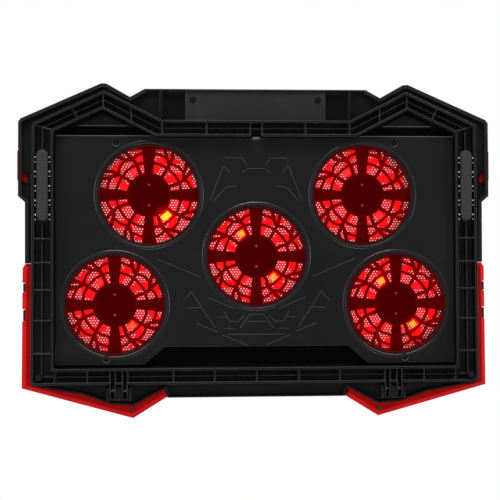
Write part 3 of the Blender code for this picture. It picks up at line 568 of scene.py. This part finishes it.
# ==== mesh tools ====
def anticlockwise(points):
    """The outline in the order that makes its upper face look up."""
    area = sum(a[0] * b[1] - b[0] * a[1] for a, b in zip(points, points[1:] + points[:1]))
    return points if area > 0 else points[::-1]


def both_sides(half):
    """A whole outline from the half that is listed at +X."""
    return half + [(-x, y) for x, y in reversed(half)]


def new_object(name, data, at=(0.0, 0.0)):
    """An object in the scene, moved in plan."""
    made = bpy.data.objects.new(name, data)
    made.location = (at[0] * MM, at[1] * MM, 0.0)
    bpy.context.scene.collection.objects.link(made)
    return made


def mesh_of(made):
    """The mesh of an object that isn't needed itself."""
    mesh = made.data
    bpy.data.objects.remove(made)
    return mesh


def edit_mesh(mesh, change):
    """Runs a change on a mesh in its editable form."""
    form = bmesh.new()
    form.from_mesh(mesh)
    change(form)
    form.to_mesh(mesh)
    form.free()


def mesh_object(name, vertices, faces):
    """An object from its vertices in millimetres, with its faces turned outwards."""
    mesh = bpy.data.meshes.new(name)
    mesh.from_pydata([(x * MM, y * MM, z * MM) for x, y, z in vertices], [], faces)
    edit_mesh(mesh, lambda form: bmesh.ops.recalc_face_normals(form, faces=form.faces))
    return new_object(name, mesh)


def join_meshes(parts):
    """One object that holds several plain meshes."""
    form = bmesh.new()
    for part in parts:
        form.from_mesh(part.data)
        bpy.data.objects.remove(part)
    mesh = bpy.data.meshes.new("joined")
    form.to_mesh(mesh)
    form.free()
    return new_object("joined", mesh)


def prism(points, low, high):
    """An upright extrusion of an outline."""
    outline = anticlockwise(list(points))
    count = len(outline)
    ends = [tuple(reversed(range(count))), tuple(range(count, 2 * count))]
    sides = [(i, (i + 1) % count, count + (i + 1) % count, count + i) for i in range(count)]
    vertices = [(x, y, z) for z in (low, high) for x, y in outline]
    return mesh_object("solid", vertices, [ends[0], *sides, ends[1]])


def disc(centre, radius, low, high, segments=48):
    """An upright round solid."""
    x, y = centre
    angles = [math.tau / segments * i for i in range(segments)]
    outline = [(x + radius * math.cos(angle), y + radius * math.sin(angle)) for angle in angles]
    return prism(outline, low, high)


def bar(start, end, width, low, high, end_width=None):
    """A straight bar between two plan points, tapered if it has an end width."""
    a = Vector(start)
    b = Vector(end)
    along = (b - a).normalized()
    across = Vector((-along.y, along.x)) / 2
    last = end_width or width
    outline = [a - across * width, b - across * last, b + across * last, a + across * width]
    return prism([tuple(point) for point in outline], low, high)


def turned(profile, segments, centre=(0.0, 0.0)):
    """The points of a (radius, z) profile at each step about +Z."""
    x, y = centre
    angles = [math.tau * i / segments for i in range(segments)]
    return [(x + radius * math.cos(angle), y + radius * math.sin(angle), z)
            for angle in angles for radius, z in profile]


def lathe(name, profile, segments, centre=(0.0, 0.0)):
    """A solid turned about +Z from (radius, z) points that start and end on the axis."""
    vertices = turned(profile[1:-1], segments, centre)
    count, bottom = len(profile) - 2, len(vertices)
    vertices += [(*centre, profile[0][1]), (*centre, profile[-1][1])]
    faces = []
    for i in range(segments):
        here, there = i * count, (i + 1) % segments * count
        faces.append((bottom, there, here))
        faces += [(here + j, there + j, there + j + 1, here + j + 1) for j in range(count - 1)]
        faces.append((bottom + 1, here + count - 1, there + count - 1))
    return mesh_object(name, vertices, faces)


def combine(target, tools, operation):
    """Joins the tools to the target, or cuts them from it, and leaves one plain mesh."""
    group = bpy.data.collections.new("tools")
    bpy.context.scene.collection.children.link(group)
    for tool in tools:
        bpy.context.scene.collection.objects.unlink(tool)
        group.objects.link(tool)
    step = target.modifiers.new("combine", "BOOLEAN")
    step.operation = operation
    step.operand_type = "COLLECTION"
    step.collection = group
    step.solver = "EXACT"
    step.use_self = True
    graph = bpy.context.evaluated_depsgraph_get()
    shaped = bpy.data.meshes.new_from_object(target.evaluated_get(graph))
    target.modifiers.clear()
    target.data = shaped
    for tool in tools:
        bpy.data.objects.remove(tool)
    bpy.data.collections.remove(group)


def soften(made, width, segments=2, highlight_look=None, clamp=True):
    """Rounds a mesh's sharp edges, after welding and joining its flat faces."""
    weld = made.modifiers.new("weld", "WELD")
    weld.merge_threshold = WELD
    flat = made.modifiers.new("flat", "DECIMATE")
    flat.decimate_type = "DISSOLVE"
    flat.angle_limit = math.radians(1.0)
    flat.delimit = {"SEAM", "MATERIAL"}
    edge = made.modifiers.new("edge", "BEVEL")
    edge.width = width * MM
    edge.segments = segments
    edge.limit_method = "ANGLE"
    edge.angle_limit = math.radians(35.0)
    edge.miter_outer = "MITER_ARC"
    edge.use_clamp_overlap = clamp
    # The rounded faces can take a paler look of their own: a painted highlight along the edges
    if highlight_look:
        made.data.materials.append(highlight_look)
        edge.material = 1
    made.data.shade_smooth()
    weighted = made.modifiers.new("weighted", "WEIGHTED_NORMAL")
    weighted.keep_sharp = False


def finish_piece(made, name, look, body="housing", replaced=()):
    """Names a piece, gives it its material, ties it to its body, and hides the CAD nodes that it replaces."""
    made.name = name
    made.data.name = name
    made.data.materials.clear()
    made.data.materials.append(look)
    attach(made, body)
    if replaced:
        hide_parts(*replaced)


def dress(node, look, bevel=0.0, segments=2, highlight_look=None, clamp=True, parting=None):
    """Gives a CAD node its material, in two slots either side of |x| = parting, and softens its edges."""
    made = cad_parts[node]
    made.data.materials.clear()
    made.data.materials.append(look)
    if parting:
        made.data.materials.append(look)
    for face in made.data.polygons:
        face.material_index = 1 if parting and abs(face.center.x) > parting * MM else 0
    if bevel:
        soften(made, bevel, segments, highlight_look=highlight_look, clamp=clamp)
    return made


def bearing(centre, radius, degrees):
    """The plan point at a compass bearing from +Y towards -X."""
    angle = math.radians(degrees)
    return (centre[0] - radius * math.sin(angle), centre[1] + radius * math.cos(angle))


# ==== the casing and its grilles ====
TUB_LINES = [
    [(26.0, 78.1), (12.0, 78.1), (7.6, 71.4)], [(12.0, 65.8), (6.9, 69.2), (0.0, 69.2)],
    [(27.2, 71.4), (22.1, 65.6)], [(27.8, 71.1), (38.8, 42.5)],
    [(36.0, 41.9), (26.0, 53.2), (16.6, 54.6)],
    [(41.5, -39.7), (19.0, -49.5)], [(50.6, -61.7), (33.1, -69.0)], [(28.9, -71.4), (8.1, -80.3)],
    [(24.5, -71.2), (0.0, -71.2)], [(14.0, -66.0), (6.3, -54.4), (0.0, -54.4)],
    [(10.0, -54.8), (15.6, -60.2), (22.7, -60.2), (27.5, -52.0)], [(33.0, -56.6), (25.5, -56.6)],
    [(62.0, -42.6), (55.0, -35.0), (35.0, -65.6)], [(58.7, -48.6), (46.4, -48.2)],
    [(8.5, -60.3), (0.0, -60.3)], [(27.5, -66.3), (18.5, -66.3)], [(83.8, -7.2), (47.4, -22.6)],
]
LINE_WIDTH = 0.55


def tub_lines(look):
    """The fine raised lines of the tub's underside, painted pale as the highlights on their edges."""
    strips = []
    for figure in TUB_LINES:
        for side in (1, -1):
            points = [(side * x, y) for x, y in figure]
            for start, end in zip(points, points[1:]):
                strips.append(bar(start, end, LINE_WIDTH, TUB_Z - 0.16, TUB_Z + 0.2))
    finish_piece(join_meshes(strips), "tub_lines", look)


def seam_grid(mesh, columns, rows, beyond=0.0):
    """Splits the faces past |x| = beyond along upright planes, so that none keeps a hole inside it."""
    form = bmesh.new()
    form.from_mesh(mesh)
    planes = [((x * MM, 0.0, 0.0), (1.0, 0.0, 0.0)) for x in columns]
    planes += [((0.0, y * MM, 0.0), (0.0, 1.0, 0.0)) for y in rows]
    for place, normal in planes:
        faces = [face for face in form.faces
                 if max(abs(vertex.co.x) for vertex in face.verts) > beyond * MM]
        edges = list(dict.fromkeys(edge for face in faces for edge in face.edges))
        vertices = list(dict.fromkeys(vertex for face in faces for vertex in face.verts))
        cut = bmesh.ops.bisect_plane(form, geom=vertices + edges + faces, dist=0.0000005,
                                     plane_co=place, plane_no=normal)
        for part in cut["geom_cut"]:
            if isinstance(part, bmesh.types.BMEdge):
                part.seam = True
    form.to_mesh(mesh)
    form.free()


def casing_body(look, highlight_look):
    """The casing's shell from the frame, with open and stepped fan holes."""
    made = new_object("casing_body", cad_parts["bottom_casing"].data.copy())
    edit_mesh(made.data, lambda form: bmesh.ops.remove_doubles(form, verts=form.verts, dist=WELD))
    low, step, high = TUB_Z - 1, TUB_Z + STEP_DEPTH, TUB_Z + TUB_THICKNESS + 0.2
    profile = [(0, low), (STEP_RADIUS, low), (STEP_RADIUS, step), (OPENING_RADIUS, step),
               (OPENING_RADIUS, high), (0, high)]
    combine(made, [lathe("opening", profile, 96, fan) for fan in FANS], "DIFFERENCE")
    columns, rows = (sorted({round(fan[axis], 1) + SEAM_OFFSET for fan in FANS}) for axis in (0, 1))
    seam_grid(made.data, columns + SPLIT_COLUMNS, rows)
    seam_grid(made.data, [], SPLIT_ROWS, SPLIT_BEYOND_X)
    finish_piece(made, "casing_body", look, replaced=("bottom_casing",))
    soften(made, 0.3, 1, highlight_look=highlight_look, clamp=False)


def ring_beads(look, highlight_look):
    """The low bead around each fan opening, with a painted highlight on its outer shoulder."""
    (inner, outer), low, high = BEAD_RADII, TUB_Z - 0.45, TUB_Z + 0.3
    profile = [(inner, high), (inner + 0.15, low + 0.2), (inner + 0.5, low), (outer - 0.5, low),
               (outer - 0.15, low + 0.2), (outer, high)]
    segments, count = 96, len(profile)
    faces = []
    for i in range(segments):
        here, there = i * count, (i + 1) % segments * count
        for j in range(count):
            k = (j + 1) % count
            faces.append((here + j, here + k, there + k, there + j))
    shared = mesh_of(mesh_object("bead", turned(profile, segments), faces))
    for number, fan in enumerate(FANS, 1):
        made = new_object(f"fan_bead_{number}", shared, fan)
        finish_piece(made, made.name, look)
        shared.materials.append(highlight_look)
    # Painted highlight: the outward-sloping faces take the paler look
    for face in shared.polygons:
        outward = face.normal.x * face.center.x + face.normal.y * face.center.y > 0
        face.material_index = 1 if outward and 0.1 < abs(face.normal.z) < 0.9 else 0


def short_steps(path):
    """A path of (degrees, reach) points with its long arcs divided into short chords."""
    points = [path[0]]
    for (start, near), (end, far) in zip(path, path[1:]):
        steps = max(1, math.ceil(abs(end - start) / CHORD_DEGREES))
        points += [(start + (end - start) * i / steps, near + (far - near) * i / steps)
                   for i in range(1, steps + 1)]
    return points


def grille_bars():
    """The grille's arms and ribs about its own centre, as plan bars."""
    centre = (0.0, 0.0)
    low, high = TUB_Z, TUB_Z + TUB_THICKNESS
    radius = OPENING_RADIUS
    solids = []
    for quarter in range(4):
        turn = 90.0 * quarter
        solids.append(bar(bearing(centre, HUB_RADIUS - 3, turn), bearing(centre, radius + 0.6, turn),
                          ARM_WIDTHS[0], low, high, ARM_WIDTHS[1]))
        for paths, width, inset in RIBS:
            levels = (low + inset, high - RIB_SPARE - inset)
            for path in paths:
                points = [bearing(centre, reach * radius, turn + degrees)
                          for degrees, reach in short_steps(path)]
                solids += [bar(start, end, width, *levels) for start, end in zip(points, points[1:])]
                solids += [disc(point, width / 2, *levels, 12) for point in points[1:-1]]
    return solids


def fan_grilles(bezel_look):
    """One grille a fan: hub disc with two holes, four arms and the branching ribs."""
    first = disc((0.0, 0.0), HUB_RADIUS, TUB_Z, TUB_Z + TUB_THICKNESS, 96)
    combine(first, grille_bars(), "UNION")
    outside = disc((0.0, 0.0), OPENING_RADIUS + 3, TUB_Z - 1, TUB_Z + 4, 96)
    combine(outside, [disc((0.0, 0.0), OPENING_RADIUS + 0.05, TUB_Z - 2, TUB_Z + 5, 96)], "DIFFERENCE")
    holes = [disc((0.0, side * HUB_HOLE_AT), 1.2, TUB_Z - 1, TUB_Z + 4, 24) for side in (1, -1)]
    combine(first, [outside] + holes, "DIFFERENCE")
    shared = mesh_of(first)
    for number, (x, y) in enumerate(FANS, 1):
        look = grille_plastic(f"grille_glow_{number}", LED_LEVELS[number - 1])
        made = new_object(f"fan_grille_{number}", shared.copy(), (x, y))
        finish_piece(made, made.name, look)
        inner = BEZEL_INNER[number - 1]
        if inner < OPENING_RADIUS:
            ring = disc((0.0, 0.0), OPENING_RADIUS + 0.2, TUB_Z + 0.52, TUB_Z + 1.6, 96)
            combine(ring, [disc((0.0, 0.0), inner, TUB_Z - 1, TUB_Z + 4, 96)], "DIFFERENCE")
            ring.location = (x * MM, y * MM, 0.0)
            finish_piece(ring, f"fan_bezel_{number}", bezel_look)
        # A disc in each hub hole that glows like a lamp: painted light from the lamps behind the hub
        for place, side in enumerate((1, -1), 1):
            pin = disc((x, y + side * HUB_HOLE_AT), 0.9, TUB_Z + 1.0, TUB_Z + 2.1, 16)
            look = lamp_glow(f"pin_{number}_{place}", HOLE_LIGHT_LEVEL)
            finish_piece(pin, f"hub_hole_light_{number}_{place}", look)


# ==== small details ====
def open_band(points, inset, low, high):
    """A band of the given width on the right-hand side of an open line, with mitred corners."""
    line = [Vector(point) for point in points]
    inner = []
    for i, here in enumerate(line):
        before = (here - line[i - 1]).normalized() if i else (line[1] - here).normalized()
        after = (line[i + 1] - here).normalized() if i + 1 < len(line) else before
        normal_in = Vector((before.y, -before.x))
        normal_out = Vector((after.y, -after.x))
        inner.append(here + (normal_in + normal_out) / (1.0 + normal_in.dot(normal_out)) * inset)
    return [prism([tuple(point) for point in (line[i], line[i + 1], inner[i + 1], inner[i])], low, high)
            for i in range(len(line) - 1)]


def rim_details(lip_look, rim_highlight_look):
    """The casing's lower lip, painted a little paler than the casing as light on the rim's outer band, the
    trims' grips, and painted highlight strips along the rims of the tub and the ledges.
    """
    lips, rims, grips = [], [], []
    inner, outer = GRIP_X
    for side in (1, -1):
        # The lip's paler plastic is painted light on the rim's outer band
        lips += open_band([(side * x, y) for x, y in RIM_HALF], LIP_WIDTH * side, RIM_Z - 0.05, RIM_Z + 0.4)
        # Bright strips along the tub's back rim and the ledges: painted highlights
        for line, level in ((TUB_BACK_RIM, TUB_Z), (LEDGE_RIM, LEDGE_Z)):
            start, end = [(side * x, y) for x, y in line]
            rims.append(bar(start, end, 0.55, level - 0.06, level + 0.3))
        for start, end in TRIM_NOTCHES:
            outline = [(inner, start + 0.1), (outer, start + 0.9), (outer, end - 0.9), (inner, end - 0.1)]
            grips.append(prism([(side * x, y) for x, y in outline], RIM_Z + 1.5, RIM_Z + 14.0))
    front = [bar(start, end, 0.5, TUB_Z - 0.05, TUB_Z + 0.3)
             for start, end in zip(TUB_FRONT_RIM, TUB_FRONT_RIM[1:])]
    finish_piece(join_meshes(grips), "trim_grips", lip_look)
    finish_piece(join_meshes(lips), "rim_lip", lip_look)
    finish_piece(join_meshes(rims), "highlight_rims", rim_highlight_look)
    finish_piece(join_meshes(front), "front_rim", lip_look)


def light_points(look, tab_look):
    """The snap tab's face, and painted glints on the tips of the teeth that hold the feet."""
    tab = prism(TAB_FACE, TUB_Z - 1.35, TUB_Z - 0.6)
    finish_piece(tab, "snap_tab_face", tab_look)
    soften(tab, 0.2, 2)
    tips = []
    for side in (1, -1):
        for number in range(TOOTH_COUNT):
            for step, radius in TOOTH_TIPS:
                y = TOOTH_MIDDLE + (number - (TOOTH_COUNT - 1) / 2) * TOOTH_PITCH + step
                tips += [disc((side * x, y), radius, TOOTH_Z - 0.25, TOOTH_Z + 0.3, 10) for x in TOOTH_X]
    finish_piece(join_meshes(tips), "tooth_tip_glints", look, "stand")


# ==== fans ====
def blade(turn):
    """One swept and pitched blade with a thin, rounded section."""
    steps, across = BLADE_STEPS
    vertices, faces = [], []
    for side in (0.0, 1.0):
        for i in range(steps + 1):
            part = i / steps
            radius = ROTOR_HUB_RADIUS - 0.6 + (BLADE_TIP - ROTOR_HUB_RADIUS + 0.6) * part
            lead = turn + BLADE_SWEEP * part * part
            width = BLADE_WIDTH[0] + BLADE_WIDTH[1] * part
            for j in range(across + 1):
                step = j / across
                bulge = BLADE_BULGE * math.sin(math.pi * step)
                z = BLADE_Z + BLADE_RISE * step + (bulge if side else -bulge)
                vertices.append((*bearing((0.0, 0.0), radius, lead + width * step), z))
    layer = (steps + 1) * (across + 1)

    def at(side, i, j):
        edge = j in (0, across)
        return i * (across + 1) + j + (0 if edge else side * layer)

    for i in range(steps):
        for j in range(across):
            faces.append((at(0, i, j), at(0, i, j + 1), at(0, i + 1, j + 1), at(0, i + 1, j)))
            faces.append((at(1, i, j), at(1, i + 1, j), at(1, i + 1, j + 1), at(1, i, j + 1)))
    for i in (0, steps):
        ring = [at(0, i, j) for j in range(across + 1)] + [at(1, i, j) for j in range(across - 1, 0, -1)]
        faces.append(tuple(ring))
    made = mesh_object("blade", vertices, faces)
    edit_mesh(made.data, drop_loose)
    return made


def drop_loose(form):
    """Deletes the points that no face uses."""
    loose = [vertex for vertex in form.verts if not vertex.link_faces]
    bmesh.ops.delete(form, geom=loose, context="VERTS")


def rotors(blade_look, hub_look):
    """Each fan's blades and its hub cup."""
    wheel = mesh_of(join_meshes([blade(360.0 * i / BLADES) for i in range(BLADES)]))
    cup = mesh_of(lathe("cup", HUB_CUP, 64))
    for number, fan in enumerate(FANS, 1):
        blades = new_object(f"rotor_blades_{number}", wheel, fan)
        hub = new_object(f"rotor_hub_{number}", cup, fan)
        for made in (blades, hub):
            made.data.shade_smooth()
        body = f"rotor_{number}"
        finish_piece(blades, blades.name, blade_look, body, (f"fan_rotor_{number}",))
        finish_piece(hub, hub.name, hub_look, body)
        edge = hub.modifiers.new("split", "EDGE_SPLIT")
        edge.split_angle = math.radians(50)


def lamps(mask):
    """Each fan's ring board and its two lamps beside the hub."""
    for number, centre in enumerate(FANS, 1):
        board = dress(f"led_board_{number}", mask)
        soften(board, 0.08, 1)
        for place, (degrees, level) in enumerate(zip(LED_BEARINGS, LED_LEVELS[number - 1]), 1):
            start, end = (bearing(centre, radius, degrees) for radius in LAMP_SPAN)
            made = bar(start, end, LAMP_WIDTHS[level == 3], TUB_Z + 0.9, TUB_Z + 3.1)
            look = lamp_glow(f"lamp_{number}_{place}", level)
            finish_piece(made, f"led_lamp_{number}_{place}", look)
            soften(made, 0.4, 2)


# ==== perforated sheet ====
def perforated_sheet(name, x_range, inside, z_range, looks):
    """A sheet of hexagonal cells, each with a hole, over part of the panel."""
    row = MESH_PITCH * math.sqrt(3) / 2
    columns, rows = int(MESH_REACH[0] / MESH_PITCH), int(MESH_REACH[1] / row)
    grid = [((i + j % 2 / 2) * MESH_PITCH, j * row)
            for j in range(-rows, rows + 1) for i in range(-columns, columns + 1)]
    centres = np.array([(x, y) for x, y in grid if x_range[0] <= x < x_range[1] and inside(x, y)])[:, None]
    angles = np.radians(30.0 + 60.0 * np.arange(6))
    spokes = np.stack([np.cos(angles), np.sin(angles)], 1)
    corners = (centres + spokes * MESH_PITCH / math.sqrt(3)).reshape(-1, 2)
    shared, index = np.unique(np.round(corners * 1000).astype(np.int64), axis=0, return_inverse=True)
    holes = (centres + spokes * MESH_HOLE).reshape(-1, 2)
    corner_id = index.reshape(-1, 6)
    hole_id = np.arange(len(holes)).reshape(-1, 6) + len(shared)
    flat = np.concatenate([shared / 1000.0, holes])
    layer = len(flat)
    points = np.concatenate([np.column_stack([flat, np.full(layer, z)]) for z in z_range]) * MM
    faces = []
    for k in range(6):
        n = (k + 1) % 6
        a, b, c, d = corner_id[:, k], corner_id[:, n], hole_id[:, n], hole_id[:, k]
        under, wall = (b, a, d, c), (d + layer, c + layer, c, d)
        over = (a + layer, b + layer, c + layer, d + layer)
        faces += [np.stack(ring, 1) for ring in (under, over, wall)]
    mesh = bpy.data.meshes.new(name)
    mesh.from_pydata(points.tolist(), [], np.concatenate(faces).tolist())
    marks = np.tile(np.repeat((0, 1, 0), len(centres)), 6)
    mesh.polygons.foreach_set("material_index", marks.astype(np.int32))
    for look in looks:
        mesh.materials.append(look)
    return new_object(name, mesh)


def mesh_panel(lit, coat):
    """The perforated sheet in three lengths, with a plain margin."""
    low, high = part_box("mesh_panel")
    z_range = (low.z / MM + 0.05, high.z / MM - 0.05)
    half_x = high.x / MM
    back, front = high.y / MM, low.y / MM

    def inside(x, y):
        if abs(x) > half_x - PANEL_MARGIN or not front + PANEL_MARGIN < y < back - PANEL_MARGIN:
            return False
        limit = PANEL_CORNERS[0] + back if y > 0 else PANEL_CORNERS[1] - front
        return abs(x) + abs(y) < limit - 2.0

    third = half_x / 3
    for number, x_range in enumerate(((-half_x, -third), (-third, third), (third, half_x)), 1):
        made = perforated_sheet(f"mesh_sheet_{number}", x_range, inside, z_range, (lit, coat))
        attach(made, "housing")
        if number == 1:
            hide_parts("mesh_panel")
    border = prism(both_sides(PANEL_EDGE), z_range[0] - 0.02, z_range[1] + 0.02)
    combine(border, [prism(both_sides(PANEL_INNER), z_range[0] - 1, z_range[1] + 1)], "DIFFERENCE")
    finish_piece(border, "mesh_border", coat)
    border.data.materials.append(lit)
    for face in border.data.polygons:
        face.material_index = 1 if face.normal.z < -0.5 else 0


# ==== stage ====
LIGHTS = [  # name, place and size in metres, and watts
    ("under_back", (0.1, 1.5, -0.60), 0.7, 40.0),
    ("under_left", (1.5, 0.2, -0.8), 0.7, 12.0),
    ("under_right", (-1.5, 0.0, -0.8), 0.7, 12.0),
    ("under_front", (0.0, -1.4, -1.0), 0.7, 10.0),
    ("top_key", (0.8, -0.9, 1.4), 1.0, 16.0),
    ("top_back", (-0.9, 0.9, 1.1), 0.9, 10.0),
]
CAMERA_AT = (0.00529, 0.00016, 0.010)  # the point it looks at, in metres
CAMERA_DISTANCE = 0.8
CAMERA_TURN = (0.59, 2.83, -0.16)  # degrees about X, Y and Z, away from straight up
CAMERA_LENS = 36.0 * 941.3 / 500.0  # a 36 mm sensor, and a focal length of 941.3 on a width of 500


def soft_light(name, place, size, power):
    """A large soft lamp turned to the pad, which the camera doesn't see."""
    data = bpy.data.lights.new(name, "AREA")
    data.shape = "SQUARE"
    data.size = size
    data.energy = power
    made = new_object(name, data)
    made.location = place
    made.rotation_euler = (-Vector(place)).to_track_quat("-Z", "Y").to_euler()
    made.visible_camera = False


def stage():
    """The pale floor, the studio lights and the white surroundings."""
    bpy.ops.mesh.primitive_plane_add(size=8.0, location=(0.0, 0.0, -0.0004))
    floor = bpy.context.object
    floor.name = "floor"
    made = Nodes("pale_floor")
    made.set(Base_Color=made.mottle(made.noise(3.0, 2.0), 0.80, 0.84), Roughness=0.8)
    clear = made.add("ShaderNodeBsdfTransparent")
    side = made.add("ShaderNodeNewGeometry").outputs["Backfacing"]
    mixed = made.add("ShaderNodeMixShader", {0: side, 1: made.shader.outputs[0], 2: clear.outputs[0]})
    output = next(node for node in made.tree.nodes if node.type == "OUTPUT_MATERIAL")
    put(output.inputs["Surface"], mixed.outputs[0])
    floor.data.materials.append(made.material)
    floor.visible_shadow = floor.visible_diffuse = floor.visible_glossy = False

    world = bpy.data.worlds.new("studio")
    bpy.context.scene.world = world
    world.use_nodes = True
    tree = world.node_tree
    tree.nodes.clear()
    seen = add_node(tree, "ShaderNodeBackground", {"Color": (1.0, 1.0, 1.0, 1.0)})
    soft = add_node(tree, "ShaderNodeBackground", {"Color": (0.95, 0.97, 1.0, 1.0), "Strength": 0.62})
    camera_ray = add_node(tree, "ShaderNodeLightPath").outputs["Is Camera Ray"]
    mix = add_node(tree, "ShaderNodeMixShader", {0: camera_ray, 1: soft.outputs[0], 2: seen.outputs[0]})
    add_node(tree, "ShaderNodeOutputWorld", {"Surface": mix.outputs[0]})
    for light in LIGHTS:
        soft_light(*light)


def camera():
    """The camera under the pad, looking up at its underside with the back edge at the top."""
    x_turn, y_turn, z_turn = (math.radians(degrees) for degrees in CAMERA_TURN)
    base = Matrix(((-1, 0, 0), (0, 1, 0), (0, 0, 1)))
    spin = Matrix.Rotation(z_turn, 3, "Z") @ Matrix.Rotation(y_turn, 3, "Y") @ Matrix.Rotation(x_turn, 3, "X")
    right, up, forward = base @ spin
    data = bpy.data.cameras.new("camera")
    data.lens = CAMERA_LENS
    data.clip_start = 0.01
    made = new_object("camera", data)
    place = Vector(CAMERA_AT) - forward * CAMERA_DISTANCE
    made.matrix_world = Matrix.Translation(place) @ Matrix((right, up, -forward)).transposed().to_4x4()
    bpy.context.scene.camera = made


# ==== everything ====
def dress_nodes():
    """Materials and softened edges for the CAD nodes that stay."""
    black = moulded_plastic("black_plastic", 0.0055, 0.46, 0.12)
    frame_black = stand_plastic("stand_plastic")
    cover = moulded_plastic("cover_plastic", 0.0135, 0.5)
    gloss = red_gloss("red_gloss")
    accent = red_gloss("red_accent", accent_painted_shade)
    foot = rubber("foot_rubber", 0.019)
    glide = rubber("glide_rubber", 0.0015)
    screw = metal("screw_black", (0.05, 0.05, 0.052), 0.4)
    steel = metal("bright_steel", (0.6, 0.6, 0.62), 0.3)
    # Paler greys for the bevels of the control cover and the stand: painted highlights on their edges
    edge = moulded_plastic("worn_edge", 0.032, 0.35, 0.2)
    dress("stand_frame", frame_black, 0.3, 1, moulded_plastic("stand_edge", 0.026, 0.35, 0.2), False)
    dress("top_shell", black, 0.3, 2)
    dress("control_cover", cover, 0.3, 2, edge)
    dress("speed_dial", black, 0.15, 1)
    dress("light_button", cover, 0.4, 2)
    dress("control_board", board_mask("board_green", (0.01, 0.11, 0.03)))
    for side in ("left", "right"):
        dress(f"corner_trim_{side}", gloss, 0.4, 3, parting=TRIM_SCREW_X)
        dress(f"side_accent_{side}", accent, 0.25, 2)
        dress(f"rubber_foot_{side}", foot, 1.6, 4)
        dress(f"front_glide_{side}", glide, 0.4, 2)
        dress(f"laptop_stopper_{side}", black, 0.35, 2)
        dress(f"usb_socket_{side}", steel, 0.12, 1)
        dress(f"hinge_pin_{side}", screw, 0.2, 1)
        dress(f"stopper_pin_{side}", steel, 0.1, 1)
        dress(f"trim_screw_{side}", screw, 0.2, 2)
    dark_screw = metal("screw_dark", (0.012, 0.012, 0.013), 0.5)
    for number in (1, 2, 3, 4):
        dress(f"casing_screw_{number}", dark_screw, 0.25, 2)
    for number in (1, 2):
        dress(f"cover_screw_{number}", dark_screw, 0.25, 2)
    motor = winding("motor_winding")
    wire = moulded_plastic("wire_sheath", 0.01, 0.5)
    for number in range(1, FAN_COUNT + 1):
        dress(f"fan_stator_{number}", motor)
        dress(f"fan_wire_{number}", wire)
    return black


bpy.context.scene.view_settings.view_transform = "Standard"
camera()
stage()
black_plastic = dress_nodes()
casing_body(casing_plastic("casing_plastic"), tub_edge("tub_edge"))
fan_grilles(bezel_plastic("bezel_plastic"))
ring_beads(black_plastic, moulded_plastic("bead_edge", 0.016, 0.3, 0.3))
rim_details(moulded_plastic("lip_plastic", 0.0088, 0.45, 0.1),
            moulded_plastic("rim_plastic", 0.075, 0.4, 0.2))
light_points(moulded_plastic("pale_plastic", 0.62, 0.35, 0.3),
             moulded_plastic("tab_plastic", 0.07, 0.35, 0.3))
tub_lines(moulded_plastic("line_plastic", 0.034, 0.4))
rotors(glowing_blade("blade_glow"), black_plastic)
lamps(board_mask("lamp_board", (0.02, 0.002, 0.002), 0.75))
mesh_panel(lit_sheet("sheet_lit"), powder_coat("sheet_coat"))
